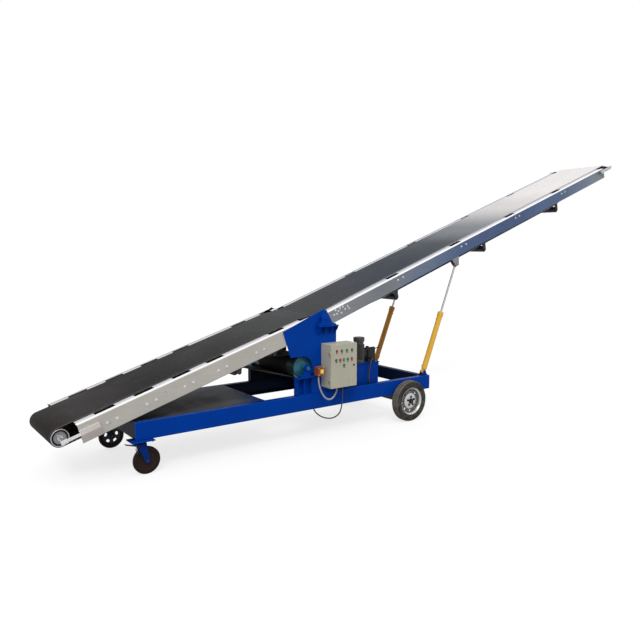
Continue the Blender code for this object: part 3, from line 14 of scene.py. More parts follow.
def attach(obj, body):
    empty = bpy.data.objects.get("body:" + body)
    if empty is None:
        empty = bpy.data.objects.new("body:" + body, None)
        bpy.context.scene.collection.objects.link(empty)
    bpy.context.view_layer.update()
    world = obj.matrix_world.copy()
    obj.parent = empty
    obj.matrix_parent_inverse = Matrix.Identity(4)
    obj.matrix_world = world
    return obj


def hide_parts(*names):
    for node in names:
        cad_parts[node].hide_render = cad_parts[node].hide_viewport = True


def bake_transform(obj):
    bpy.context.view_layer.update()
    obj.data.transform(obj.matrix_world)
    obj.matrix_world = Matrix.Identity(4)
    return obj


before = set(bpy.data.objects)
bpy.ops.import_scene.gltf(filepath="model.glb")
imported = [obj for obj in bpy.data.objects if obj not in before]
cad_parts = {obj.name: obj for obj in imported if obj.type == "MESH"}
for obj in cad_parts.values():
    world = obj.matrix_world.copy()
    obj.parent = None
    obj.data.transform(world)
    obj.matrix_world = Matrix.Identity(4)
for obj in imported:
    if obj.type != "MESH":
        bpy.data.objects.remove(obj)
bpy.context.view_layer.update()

# Shared dimensions
ORIGIN = (3.952483, -0.031)
SIDES = {"near": -1, "far": 1}
GAP = 0.0003
CHASSIS_LENGTH = 4.216
HALF_WIDTH = 0.5775
RAIL_LOW = 0.37
RAIL_TOP = 0.56
RAIL_FLANGE = 0.075
RAIL_WALL = 0.008
CROSS_STARTS = {"front": 0.004, "middle": 1.500, "pack": 2.700, "rear": 4.136}
CROSS_WIDTH = 0.075
DECK_END = 1.578
PORTS = {"pack": (-0.44,), "rear": (-0.40, 0.40)}
PORT_Z = 0.46
GLAND_LENGTH = 0.018
LEAD = 0.03
CORD_STEP = 0.0025
PIVOT = (2.375, 1.475)
TAIL_SLOPE = math.radians(17.3)
BOOM_SLOPE = math.radians(19.8)
SECTION_LOW = -0.135
TAIL_TOP = 0.060
BOOM_TOP = 0.025
TAIL_BED = 0.0547
BOOM_BED = 0.0197
SIDE_WALL = 0.005
TOWER_FACE = 0.559
TOWER_INNER = 0.551
TAIL_FACE = 0.5507
BOOM_FACE = 0.545
TAIL_PLATES = (-3.055, -0.16)
BOOM_PLATES = (-0.06, 6.44)
SLOT_Y = 0.44
TAIL_SLOTS = (-2.74, -2.31, -1.87, -1.45, -0.61)
BOOM_SLOTS = (1.32, 2.61, 3.90, 5.14)
TAIL_BOLTS = (-0.27, -0.17, 0.14, 0.24, 0.56, 0.66, 0.96, 1.06, 1.44, 1.54)
BOOM_BOLTS = (3.62, 3.71, 4.84, 4.94, 6.05, 6.14, 7.22, 7.31)
BOLT_CLUSTER = ((0.176, -0.042), (0.215, 0.006), (0.219, -0.045), (0.252, -0.023), (0.287, 0.003),
                (0.290, -0.060), (0.338, 0.002), (0.362, -0.039), (0.409, -0.017), (0.422, -0.054))
TAIL_DRUM = (-3.212, -0.0333)
TAIL_DRUM_RADIUS = 0.088
HEAD_DRUM = (6.66, -0.0103)
HEAD_DRUM_RADIUS = 0.03
IDLERS = {"return_idler_1": 1.29, "return_idler_2": 3.17, "return_idler_3": 5.06}
IDLER_W = -0.26
IDLER_RADIUS = 0.045
IDLER_HALF = 0.455
RETURN_START = (0.030, -0.145)
RETURN_W = -0.2097
SNUB_FRONT = (-1.25, -0.1819)
SNUB_REAR = (1.70, 1.10)
SNUB_RADIUS = 0.05
GUIDE = (2.20, 1.26)
GUIDE_RADIUS = 0.035
DRUM = (2.13, 0.885)
DRUM_RADIUS = 0.14
DRUM_HALF = 0.48
DRUM_BAND = 0.33
BELT_HALF = 0.40
BELT_THICKNESS = 0.010
BELT_OFFSET = 0.0053
PEDESTAL_TOP = 0.775
PEDESTAL_RIBS = (1.985, 2.085, 2.1955)
PEDESTAL_WALL = 0.008
SHELF_EDGE = TOWER_FACE + 0.041
TOWER_FOOT_LEFT = 2.212
TOWER_RIGHT = 2.58
TOWER_CROWNS = {
    "near": [(2.440, 1.547), (2.425, 1.566), (2.395, 1.577), (2.365, 1.574)],
    "far": [(2.470, 1.496), (2.455, 1.506), (2.340, 1.506), (2.300, 1.496)]}
CUTOUT_TOP = 1.03
CUTOUT_CORNER = 0.135
TIE = (2.50, 1.10)
LEDGE_TOP = 1.385
LEDGE_X = (2.27, 2.56)
LEDGE_WALL = 0.012
LEDGE_EDGE = TOWER_FACE + 0.081
SHAFT_END = (TOWER_FACE + LEDGE_EDGE) / 2 + 0.026
BLOCK_RADII = {"near": 0.052, "far": 0.034}
FOOT_PIN = (4.165, 0.600)
EYE_PIN = (4.78, 2.095)
LIFT_Y = 0.50
LIFT_EYE = (2.4728, -0.2313)
LIFT_PIN_RADIUS = 0.0125
WHEEL_PLACE = (3.76, 0.646, 0.275)
CASTER_PLACE = (0.07, 0.538)
CASTER_TRAIL = 0.055
CASTER_RADIUS = 0.145
CABINET_X = (2.35, 2.75)
CABINET_Z = (0.634, 1.166)
CABINET_FRONT = 0.755
HINGE_LOWS = (CABINET_Z[0] + 0.07, CABINET_Z[1] - 0.13)
LOCK_SPOT = (0.88, 0.51)
TERMINAL_BOX = ((2.20, 2.29), (0.62, 0.70), (0.80, 0.905))
CAMERA = (-2.2982, -6.7904, 2.3270)
CAMERA_RIGHT = (0.80280, -0.59624, 0.0)
CAMERA_FORWARD = (0.59248, 0.79774, -0.11213)
CAMERA_ROLL = math.radians(0.1095)
CAMERA_LENS = 36.438
CASE_GLAND = (2.235, -0.66)
CABINET_GLAND_Y = -0.66
TANK_X = (2.85, 3.38)
TANK_Y = (-0.45, -0.10)
TANK_TOP = 0.825
MOTOR = (3.12, -0.35)
MOTOR_TOP = 1.155
VALVE_X = (3.225, 3.345)
VALVE_Y = (-0.42, -0.30)
VALVE_TOP = 1.015
VALVE_PORT_Z = TANK_TOP + 0.05


def at(x, z, turn=0.0, y=0.0):
    """The matrix of a frame at this machine place, its X axis turned up by an angle."""
    c, s = math.cos(turn), math.sin(turn)
    return np.array([
        [c, 0, -s, x - ORIGIN[0]],
        [0, 1, 0, y - ORIGIN[1]],
        [s, 0, c, z],
        [0, 0, 0, 1]])


MACHINE = at(0, 0)
TAIL = at(*PIVOT, TAIL_SLOPE)
BOOM = at(*PIVOT, BOOM_SLOPE)
LIFT_REACH = (EYE_PIN[0] - FOOT_PIN[0], EYE_PIN[1] - FOOT_PIN[1])
LIFT_LENGTH = math.hypot(*LIFT_REACH)
LIFT_LEAN = math.atan2(LIFT_REACH[1], LIFT_REACH[0]) - math.pi / 2


def world_of(u, w, slope):
    """Machine (x, z) of a point u along and w above a section that slopes through the pivot."""
    c, s = math.cos(slope), math.sin(slope)
    return PIVOT[0] + u * c - w * s, PIVOT[1] + u * s + w * c


# Shapes are (points, faces): an array of points and a list of arrays of corner numbers

def outward(points, faces):
    """Turns the faces round where the volume under them, the sum of a . (b x c) / 6, is negative."""
    volume = 0.0
    for group in faces:
        first = points[group[:, :1]]
        cross = np.cross(points[group[:, 1:-1]], points[group[:, 2:]])
        volume += float((first * cross).sum())
    if volume < 0:
        faces = [group[:, ::-1] for group in faces]
    return points, faces


def joined(*shapes):
    points, faces, base = [], [], 0
    for shape_points, shape_faces in shapes:
        points.append(shape_points)
        faces += [group + base for group in shape_faces]
        base += len(shape_points)
    return np.concatenate(points), faces


def moved(shape, matrix):
    points, faces = shape
    return points @ matrix[:3, :3].T + matrix[:3, 3], faces


def loft(rows, ring=False):
    """A closed skin: point j of section i joins point j + 1 and section i + 1.

    A ring joins its last section to its first.
    """
    count, around = rows.shape[:2]
    index = np.arange(count * around).reshape(count, around)
    here = index if ring else index[:-1]
    following = np.roll(index, -1, axis=0) if ring else index[1:]
    quads = np.stack((here, np.roll(here, -1, 1), np.roll(following, -1, 1), following), -1)
    faces = [quads.reshape(-1, 4)]
    if not ring:
        faces += [index[:1, ::-1], index[-1:]]
    return outward(rows.reshape(-1, 3), faces)


def basis(direction):
    """Two unit vectors square to a direction and to each other."""
    along = np.asarray(direction, float) / np.linalg.norm(direction)
    helper = np.array((0.0, 0.0, 1.0)) if abs(along[2]) < 0.9 else np.array((1.0, 0.0, 0.0))
    right = np.cross(helper, along)
    right /= np.linalg.norm(right)
    return along, right, np.cross(along, right)


def turned(profile, start, direction, sides=48, ring=False, waves=0, wave=0.0):
    """A profile of (r, d) turned about an axis: start + d axis + r (cos a right + sin a up).

    With waves, r swells by wave |cos(waves a / 2)| round the axis, which gives fins or knurls.
    """
    along, right, up = basis(direction)
    radius, reach = np.asarray(profile, float).T
    angle = np.arange(sides) * 2 * math.pi / sides
    swell = 1 + wave * np.abs(np.cos(waves * angle / 2)) if waves else np.ones(sides)
    around = (np.cos(angle)[:, None] * right + np.sin(angle)[:, None] * up) * swell[:, None]
    rows = np.asarray(start, float) + reach[:, None, None] * along + radius[:, None, None] * around
    return loft(rows, ring)


def bar(start, end, radius, sides=32, chamfer=0.0015):
    start, end = np.asarray(start, float), np.asarray(end, float)
    length = float(np.linalg.norm(end - start))
    profile = [(radius - chamfer, 0), (radius, chamfer), (radius, length - chamfer),
               (radius - chamfer, length)]
    return turned(profile, start, end - start, sides)


def tube(start, end, radius, wall, sides=40):
    start, end = np.asarray(start, float), np.asarray(end, float)
    length = float(np.linalg.norm(end - start))
    profile = [(radius, 0), (radius, length), (radius - wall, length), (radius - wall, 0)]
    return turned(profile, start, end - start, sides, ring=True)


def mitre(outline):
    """Each corner's step for one unit across both its edges: (m + n) / (1 + m . n) from their normals."""
    before = outline - np.roll(outline, 1, 0)
    after = np.roll(before, -1, 0)
    before = before / np.linalg.norm(before, axis=1, keepdims=True)
    after = after / np.linalg.norm(after, axis=1, keepdims=True)
    m = np.stack((-before[:, 1], before[:, 0]), 1)
    n = np.stack((-after[:, 1], after[:, 0]), 1)
    return (m + n) / (1 + (m * n).sum(1, keepdims=True))


def inset(outline, amount):
    """Each corner moves along its bisector until both its edges have moved in by the amount."""
    return outline + amount * mitre(outline)


def rounded(outline, radius, steps=4):
    """Each corner p becomes (1 - t)^2 a + 2 t (1 - t) p + t^2 b, where a and b lie on its two edges."""
    outline = np.asarray(outline, float)
    back = np.roll(outline, 1, 0) - outline
    ahead = np.roll(outline, -1, 0) - outline
    back_length = np.linalg.norm(back, axis=1)
    ahead_length = np.linalg.norm(ahead, axis=1)
    cut = np.minimum(radius, 0.45 * np.minimum(back_length, ahead_length))
    a = outline + back * (cut / back_length)[:, None]
    b = outline + ahead * (cut / ahead_length)[:, None]
    t = np.linspace(0, 1, steps + 1)[None, :, None]
    curves = (1 - t) ** 2 * a[:, None] + 2 * t * (1 - t) * outline[:, None] + t ** 2 * b[:, None]
    return curves.reshape(-1, 2)


def rectangle(a, b, radius, steps=4):
    """A rectangle with rounded corners, from its two ranges."""
    return rounded([(a[0], b[0]), (a[1], b[0]), (a[1], b[1]), (a[0], b[1])], radius, steps)


def folded(path, wall, radius, steps=5):
    """Outline of a bent sheet: the open path with its bends rounded, and that curve moved by the wall."""
    path = np.asarray(path, float)
    curve = rounded(path, radius, steps)
    curve = np.concatenate((path[:1], curve[steps + 1:-steps - 1], path[-1:]))
    run = np.diff(curve, axis=0)
    run /= np.linalg.norm(run, axis=1, keepdims=True)
    side = np.stack((-run[:, 1], run[:, 0]), 1)
    m = np.concatenate((side[:1], side))
    n = np.concatenate((side, side[-1:]))
    shift = (m + n) / (1 + (m * n).sum(1, keepdims=True))
    return np.concatenate((curve, (curve + wall * shift)[::-1]))


def spread(flat, along, plane):
    """Places of (a, b) outlines, each at its distance along the axis that the plane is named for."""
    a, b = flat[..., 0], flat[..., 1]
    c = np.broadcast_to(np.asarray(along, float)[:, None], a.shape)
    return np.stack({"X": (c, a, b), "Y": (a, c, b), "Z": (a, b, c)}[plane], -1)


def pressed(outline, ends, plane="Y", rounding=0.001, steps=2):
    """A plate with soft edges: r (1 - cos a) in from an end, its outline is smaller by r (1 - sin a)."""
    outline = np.asarray(outline, float)
    following = np.roll(outline, -1, 0)
    if (outline[:, 0] * following[:, 1] - following[:, 0] * outline[:, 1]).sum() < 0:
        outline = outline[::-1]
    angle = np.linspace(0, math.pi / 2, steps + 1)
    shrink = rounding * (1 - np.sin(angle))
    rise = rounding * (1 - np.cos(angle))
    amounts = np.concatenate((shrink, shrink[::-1]))
    along = np.concatenate((min(ends) + rise, (max(ends) - rise)[::-1]))
    flat = np.stack([inset(outline, amount) for amount in amounts])
    return loft(spread(flat, along, plane))


def block(x, y, z, rounding=0.002, plane="Z"):
    """A box with rounded edges: a rounded rectangle pressed along one axis."""
    a, b, ends = {"X": (y, z, x), "Y": (x, z, y), "Z": (x, y, z)}[plane]
    return pressed(rectangle(a, b, rounding, 3), ends, plane, rounding * 0.8)


def extruded(outline, ends, plane):
    """A closed bar with the same outline at both its ends."""
    return loft(spread(np.stack((outline, outline)), ends, plane))


def shell(outline, wall, ends, plane):
    """A ring of sheet: the outline at the first two ends and, in by the wall, at the last two."""
    inner = inset(outline, wall)
    return loft(spread(np.stack((outline, outline, inner, inner)), ends, plane), ring=True)


def mirrored(half):
    """A profile of (r, d), carried on by its mirror image on the other side of d = 0."""
    return half + [(radius, -reach) for radius, reach in reversed(half)]


def about(middle, half):
    """The two ends of a width, half of it to each side of its middle."""
    return middle - half, middle + half


def arc(centre, radius, start, end, steps=16):
    angle = np.radians(np.linspace(start, end, steps + 1))
    return np.stack((centre[0] + radius * np.cos(angle), centre[1] + radius * np.sin(angle)), 1)


def path_of(*parts):
    return np.concatenate([np.atleast_2d(np.asarray(part, float)) for part in parts])


def repeated(shape, places):
    """The same shape set down at each of many places."""
    points, faces = shape
    places = np.asarray(places, float).reshape(-1, 3)
    shifts = np.arange(len(places)) * len(points)
    copies = (points[None] + places[:, None]).reshape(-1, 3)
    return copies, [(group[None] + shifts[:, None, None]).reshape(-1, group.shape[1]) for group in faces]


def bolts(places, direction, radius=0.010, sides=6):
    """Hexagon heads on washers, with the end of the thread standing out of each."""
    washer = [(radius * 1.35, 0), (radius * 1.35, radius * 0.16), (radius * 1.2, radius * 0.22)]
    head = [(radius, radius * 0.2), (radius, radius * 0.85), (radius * 0.84, radius * 0.98)]
    stud = [(radius * 0.5, radius * 0.9), (radius * 0.5, radius * 1.3), (radius * 0.4, radius * 1.4)]
    start = (0, 0, 0)
    shape = joined(turned(washer, start, direction, 16), turned(head, start, direction, sides),
                   turned(stud, start, direction, 10))
    return repeated(shape, places)


def swept(path, radius, sides=10):
    """A round skin along a path: p + r (cos a s + sin a (t x s)), where s is square to the run t."""
    path = np.asarray(path, float)
    run = np.gradient(path, axis=0)
    run /= np.linalg.norm(run, axis=1, keepdims=True)
    side = np.cross(run, (0.5, 0.7, 0.5))
    side /= np.linalg.norm(side, axis=1, keepdims=True)
    other = np.cross(run, side)
    angle = np.arange(sides) * 2 * math.pi / sides
    ring = np.cos(angle)[None, :, None] * side[:, None] + np.sin(angle)[None, :, None] * other[:, None]
    radius = np.broadcast_to(radius, len(path))
    return loft(path[:, None] + radius[:, None, None] * ring)


def bead(start, end, radius=0.004, pitch=0.007):
    """A weld run: a round skin whose radius ripples by a fifth, once in each pitch."""
    start, end = np.asarray(start, float), np.asarray(end, float)
    length = float(np.linalg.norm(end - start))
    count = max(8, int(length / pitch) * 4)
    t = np.linspace(0, 1, count)[:, None]
    ripple = 1 - 0.2 * np.abs(np.sin(math.pi * t[:, 0] * length / pitch))
    ends = np.clip(np.minimum(t[:, 0], 1 - t[:, 0]) * length / radius, 0.2, 1)
    return swept(start + (end - start) * t, radius * ripple * ends, 8)


def spring(start, end, radius, turns):
    """A coil: along the axis by t, and radius (cos a, sin a) round it with a = 2 pi turns t."""
    start, end = np.asarray(start, float), np.asarray(end, float)
    _, right, up = basis(end - start)
    t = np.linspace(0, 1, turns * 16)[:, None]
    angle = 2 * math.pi * turns * t
    return swept(start + (end - start) * t + radius * (np.cos(angle) * right + np.sin(angle) * up), 0.0018, 8)


def holed_ring(start, direction, radii, hole, count, depth, crown=0.0, phase=0.0, around=40):
    """A disc of equal sectors, each with one hole.

    Between hole and sector edge lie (1 - t) h + t e, where h runs round the hole and e round the
    sector's edge in step, as (angle, radius). The front stands crown further out at the inner radius.
    """
    along, right, up = basis(direction)
    circle, half_round, half_out, power = hole
    turn = np.arange(around) * 2 * math.pi / around
    c, s = np.cos(turn), np.sin(turn)
    hole_angle = half_round / circle * np.sign(c) * np.abs(c) ** (2 / power)
    hole_radius = circle + half_out * np.sign(s) * np.abs(s) ** (2 / power)
    half_angle = math.pi / count
    reach = 1 / np.maximum(np.abs(c), np.abs(s))
    edge_angle = half_angle * c * reach
    room = np.where(s < 0, circle - radii[0], radii[1] - circle)
    edge_radius = circle + room * s * reach
    shapes = []
    for sector in range(count):
        middle = phase + 2 * half_angle * sector
        rows = []
        for t, level in ((1, 1), (0.5, 1), (0, 1), (0, 0), (0.5, 0), (1, 0)):
            angle = middle + (1 - t) * hole_angle + t * edge_angle
            radius = (1 - t) * hole_radius + t * edge_radius
            lift = depth[0] + (depth[1] - depth[0]) * level
            lift = lift + crown * (radii[1] - radius) / (radii[1] - radii[0])
            rows.append(lift[:, None] * along
                        + radius[:, None] * (np.cos(angle)[:, None] * right + np.sin(angle)[:, None] * up))
        shapes.append(loft(np.asarray(start, float) + np.stack(rows), ring=True))
    return joined(*shapes)


def linked(name, data):
    thing = bpy.data.objects.new(name, data)
    bpy.context.scene.collection.objects.link(thing)
    return thing


def piece(name, shapes, paint, body, replaces=(), place=MACHINE, angle=30):
    """One object of the scene: its shapes put in place, smoothed up to an angle, riding on a body."""
    points, faces = moved(joined(*shapes), place)
    mesh = bpy.data.meshes.new(name)
    mesh.from_pydata(points.tolist(), [], [face for group in faces for face in group.tolist()])
    mesh.materials.append(paint)
    mesh.shade_smooth()
    mesh.set_sharp_from_angle(angle=math.radians(angle))
    thing = linked(name, mesh)
    even = thing.modifiers.new("Even shading", "WEIGHTED_NORMAL")
    even.keep_sharp = True
    if body:
        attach(thing, body)
    if replaces:
        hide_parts(*replaces)
    return thing


# Finishes

def tone(red, green, blue):
    """The linear colour of screen values from 0 to 255."""
    values = np.array((red, green, blue)) / 255
    return tuple(np.where(values <= 0.04045, values / 12.92, ((values + 0.055) / 1.055) ** 2.4).tolist())


class Value:
    """A number that varies over a surface; arithmetic on it adds Math nodes."""

    def __init__(self, paint, socket):
        self.paint = paint
        self.socket = socket

    def combine(self, operation, first, second):
        return self.paint.node("ShaderNodeMath", {"operation": operation}, {0: first, 1: second})

    def __add__(self, other):
        return self.combine("ADD", self, other)

    __radd__ = __add__

    def __sub__(self, other):
        return self.combine("SUBTRACT", self, other)

    def __rsub__(self, other):
        return self.combine("SUBTRACT", other, self)

    def __mul__(self, other):
        return self.combine("MULTIPLY", self, other)

    def __abs__(self):
        return self.combine("ABSOLUTE", self, 0)


class Paint:
    """One finish: a Principled material whose patterns lie on Object coordinates."""

    def __init__(self, name, roughness=0.5, metallic=0.0, coat=0.0, specular=0.5):
        self.material = bpy.data.materials.new(name)
        self.material.use_nodes = True
        self.tree = self.material.node_tree
        self.shader = self.tree.nodes["Principled BSDF"]
        self.shader.inputs["Roughness"].default_value = roughness
        self.shader.inputs["Metallic"].default_value = metallic
        self.shader.inputs["Coat Weight"].default_value = coat
        self.shader.inputs["Specular IOR Level"].default_value = specular
        self.places = self.node("ShaderNodeTexCoord", output="Object")
        self.normals = Value(self, self.places.socket.node.outputs["Normal"])

    def join(self, value, socket):
        if isinstance(value, Value):
            self.tree.links.new(value.socket, socket)
        elif isinstance(value, tuple) and len(value) == 3 and len(socket.default_value) == 4:
            socket.default_value = (*value, 1)
        else:
            socket.default_value = value

    def node(self, kind, settings=None, inputs=None, output=0):
        made = self.tree.nodes.new(kind)
        for key, setting in (settings or {}).items():
            setattr(made, key, setting)
        for key, value in (inputs or {}).items():
            self.join(value, made.inputs[key])
        return Value(self, made.outputs[output])

    def part(self, vector, axis):
        return self.node("ShaderNodeSeparateXYZ", inputs={0: vector}, output=axis)

    def between(self, value, low, high):
        """0 below low and 1 above high, with a smooth step."""
        return self.node("ShaderNodeMapRange", {"interpolation_type": "SMOOTHSTEP"},
                         {"Value": value, "From Min": low, "From Max": high})

    def noise(self, scale, low=0.35, high=0.65, stretch=(1.0, 1.0, 1.0), detail=4.0):
        spots = self.node("ShaderNodeMapping", inputs={"Vector": self.places, "Scale": stretch})
        cloud = self.node("ShaderNodeTexNoise", inputs={"Vector": spots, "Scale": scale, "Detail": detail})
        return self.between(cloud, low, high)

    def mix(self, factor, first, second):
        return self.node("ShaderNodeMix", {"data_type": "RGBA"}, {0: factor, 6: first, 7: second}, 2)

    def stops(self, value, stops):
        """A colour that runs from stop to stop of (value, colour)."""
        look = tone(*stops[0][1])
        for (start, _), (end, colour) in zip(stops, stops[1:]):
            look = self.mix(self.between(value, start, end), look, tone(*colour))
        return look

    def machine(self, axis):
        """The place along the machine, its distance from the middle plane, or its height."""
        place = self.part(self.places, axis)
        return place + (*ORIGIN, 0)[axis] if axis < 2 else place

    def up(self, low=0.5, high=0.95):
        """1 where a face looks up."""
        return self.between(self.part(self.normals, 2), low, high)

    def finish(self, colour, roughness=None, height=None, strength=0.2, distance=0.002):
        self.join(colour, self.shader.inputs["Base Color"])
        if roughness is not None:
            self.join(roughness, self.shader.inputs["Roughness"])
        if height is not None:
            levels = {"Strength": strength, "Distance": distance, "Height": height}
            bump = self.node("ShaderNodeBump", inputs=levels, output="Normal")
            self.join(bump, self.shader.inputs["Normal"])
        return self.material


def sprayed(name, colour, shade, dust=(150, 148, 140), dust_light_share=0.35, roughness=0.4, metallic=0.0, coat=0.0,
            chips=0.5, inner=None, specular=0.25):
    """Sprayed steel: soft clouds of a second shade, dust and a painted lighter top where it faces up, orange
    peel and a few chips.

    inner is (|y| limit, colour): what lies nearer the machine's middle plane, or looks towards it, is painted
    darker as shade. The dust colour paints both dust and the upward faces' light.
    """
    paint = Paint(name, roughness, metallic, coat, specular)
    look = paint.mix(paint.noise(2.3, 0.3, 0.7) * 0.6, tone(*colour), tone(*shade))
    # Painted shade: faces near or towards the middle plane take the inner colour.
    if inner:
        middle = paint.machine(1)
        deep = 1.0 - paint.between(abs(middle), inner[0] - 0.004, inner[0])
        inward = paint.between(paint.part(paint.normals, 1) * middle * -1.0, 0.2, 0.4)
        look = paint.mix(deep, look, tone(*inner[1]))
        look = paint.mix(inward, look, tone(*inner[1]))
    # Dust and painted top light: upward faces take the dust colour in clouds.
    dust_and_top_light = paint.up() * paint.noise(9.0, 0.3, 0.75) * dust_light_share
    look = paint.mix(dust_and_top_light, look, tone(*dust))
    grime = paint.noise(26.0, 0.55, 0.8, (1.0, 1.0, 0.35)) * 0.25
    look = paint.mix(grime, look, tone(*[part * 0.55 for part in colour]))
    chipped = paint.noise(60.0, 0.73, 0.76) * chips
    look = paint.mix(chipped, look, tone(120, 112, 105))
    gloss = roughness + dust_and_top_light * 0.4 + grime * 0.5 + chipped * 0.2
    return paint.finish(look, gloss, paint.noise(140.0, 0.3, 0.7), 0.08, 0.0006)


def rolled(name, colour, shade, grain, roughness=0.38, metallic=0.5, top=None):
    """Sheet steel: fine lines along its run, clouded by faint stains; its upward faces may be painted paler
    as a highlight.
    """
    paint = Paint(name, roughness, metallic)
    lines = paint.noise(40.0, 0.25, 0.75, grain)
    clouds = paint.noise(1.7, 0.3, 0.7)
    look = paint.mix(lines * 0.35 + clouds * 0.35, tone(*colour), tone(*shade))
    spots = paint.noise(34.0, 0.66, 0.74) * 0.3
    look = paint.mix(spots, look, tone(*[part * 0.6 for part in colour]))
    # Painted highlight on upward faces.
    if top:
        look = paint.mix(paint.up(0.7, 0.95) * 0.9, look, tone(*top))
    return paint.finish(look, roughness + clouds * 0.12 + spots * 0.3, lines, 0.12, 0.0005)


def boom_sheet():
    """The boom's plates, their colour along the length a painted reflection: grey by the tower, bluer
    outwards, grey-green at the very end.
    """
    paint = Paint("Boom side sheet", 0.42, 0.2, 0.0, 0.2)
    # Painted reflection, set by place along the machine.
    look = paint.stops(paint.machine(0), [
        (2.6, (150, 151, 153)), (3.4, (132, 136, 140)), (4.1, (116, 129, 154)), (5.0, (78, 98, 136)),
        (6.0, (74, 93, 132)), (7.0, (84, 106, 142)), (7.8, (116, 128, 152)), (8.3, (130, 142, 150)),
        (8.55, (124, 132, 126))])
    lines = paint.noise(40.0, 0.25, 0.75, (0.12, 1.0, 1.6))
    look = paint.mix(lines * 0.14 + paint.noise(1.6, 0.3, 0.7) * 0.14, look, tone(60, 70, 92))
    # Painted highlight: upward faces near white.
    look = paint.mix(paint.up(0.7, 0.93), look, tone(250, 250, 252))
    return paint.finish(look, 0.36 + paint.noise(7.0) * 0.16, lines, 0.12, 0.0005)


def deck_paint():
    """The deck: smooth gloss, its dark greys a painted reflection of the belt above and its front corner a
    painted black shadow, with its blue towards its rear end.
    """
    paint = Paint("Deck paint", 0.5, 0.0, 0.0, 0.02)
    # Painted reflection and shadow: dark greys and the black front corner, set by place on the deck.
    look = paint.stops(paint.machine(0) + paint.machine(1) * 0.35, [
        (0.05, (14, 15, 20)), (0.30, (66, 65, 69)), (0.75, (78, 77, 80)), (1.35, (95, 98, 104))])
    rear = paint.between(paint.machine(0) - paint.machine(1) * 0.55, 1.35, 1.85)
    look = paint.mix(rear, look, tone(22, 58, 118))
    look = paint.mix(paint.noise(1.3, 0.3, 0.7, (0.5, 2.0, 1.0)) * 0.3, look, tone(50, 52, 58))
    scuffs = paint.noise(30.0, 0.66, 0.76, (0.3, 2.0, 1.0)) * 0.3
    look = paint.mix(scuffs, look, tone(110, 110, 110))
    return paint.finish(look, 0.45 + scuffs * 0.3 + paint.noise(6.0) * 0.1, paint.noise(90.0), 0.05, 0.0004)


def belt_rubber():
    """The belt: dark rubber with dusty streaks and a fine fabric print, and painted light: a sky reflection
    paling it towards the head, edge highlights, and lit sides and underside.
    """
    paint = Paint("Belt rubber", 0.6, 0.0, 0.0, 0.03)
    along = paint.machine(0)
    # Painted reflection of the sky: the belt pales towards the head.
    look = paint.stops(along, [
        (-0.8, (38, 35, 32)), (-0.4, (56, 52, 53)), (0.3, (41, 41, 41)), (1.0, (51, 51, 51)),
        (2.0, (67, 68, 69)), (4.0, (64, 68, 77)), (4.7, (77, 82, 87)), (5.4, (128, 132, 137)),
        (6.5, (212, 208, 208)), (7.3, (230, 227, 226))])
    streaks = paint.noise(6.0, 0.35, 0.75, (0.25, 9.0, 0.25))
    look = paint.mix(streaks * 0.14, look, tone(84, 82, 80))
    fleck = paint.noise(26.0, 0.62, 0.76, (0.5, 1.6, 0.5)) * 0.35
    look = paint.mix(fleck, look, tone(120, 118, 116))
    # Painted highlight along each edge.
    edge = paint.between(abs(paint.machine(1)), 0.388, 0.396)
    look = paint.mix(edge * 0.5, look, tone(128, 124, 128))
    # Painted light: the belt's sides pale on the boom.
    side = paint.between(abs(paint.part(paint.normals, 1)), 0.6, 0.9)
    look = paint.mix(side, look, paint.stops(along, [(2.4, (52, 50, 52)), (3.0, (176, 180, 190))]))
    # Painted light: the underside is lifted out of its shade, and pale on the boom.
    under = paint.between(paint.part(paint.normals, 2) * -1.0, -0.2, 0.3)
    underside_painted_light = paint.stops(along, [(2.6, (52, 46, 46)), (3.4, (150, 158, 178))])
    look = paint.mix(under, look, underside_painted_light)
    print_lines = paint.noise(220.0, 0.3, 0.7, (1.0, 1.0, 1.0), 2.0)
    return paint.finish(look, 0.55 + streaks * 0.2 + paint.noise(3.0) * 0.08, print_lines, 0.15, 0.0008)


def tyre_rubber(name, colour, dust, roughness=0.75):
    """Tyre rubber: warm dust held in the tread and in blotches on the sidewall, with fine cracks."""
    paint = Paint(name, roughness, specular=0.1)
    blotch = paint.noise(14.0, 0.35, 0.7)
    fine = paint.noise(90.0, 0.4, 0.6)
    tread = 1.0 - paint.between(abs(paint.part(paint.normals, 1)), 0.3, 0.75)
    look = paint.mix(blotch * 0.2 + tread * 0.65, tone(*colour), tone(*dust))
    look = paint.mix(fine * 0.25, look, tone(*[part * 0.5 for part in colour]))
    return paint.finish(look, roughness - blotch * 0.1 + fine * 0.08, fine, 0.3, 0.0008)


def corrugated(name, colour, shade, roughness=0.5):
    """Hose and conduit skin: a mottled plastic with dust on its upper side."""
    paint = Paint(name, roughness)
    fine = paint.noise(160.0)
    look = paint.mix(fine * 0.5 + paint.up(0.2, 0.9) * 0.3, tone(*colour), tone(*shade))
    return paint.finish(look, roughness + fine * 0.15, fine, 0.1, 0.0003)


# Painted shade: the inner colours darken the blues near and towards the machine's middle. Their pale blue
# dust colours paint a lit top as well as dust.
BLUE = sprayed("Chassis blue", (0, 61, 160), (0, 54, 146), (30, 84, 160), 0.18, 0.34, 0.0, 0.0, 0.2,
               (0.535, (8, 24, 50)), 0.04)
TOWER_BLUE = sprayed("Tower blue", (0, 63, 162), (0, 57, 150), (30, 84, 160), 0.18, 0.34, 0.0, 0.0, 0.2,
                     (0.500, (8, 24, 54)), 0.04)
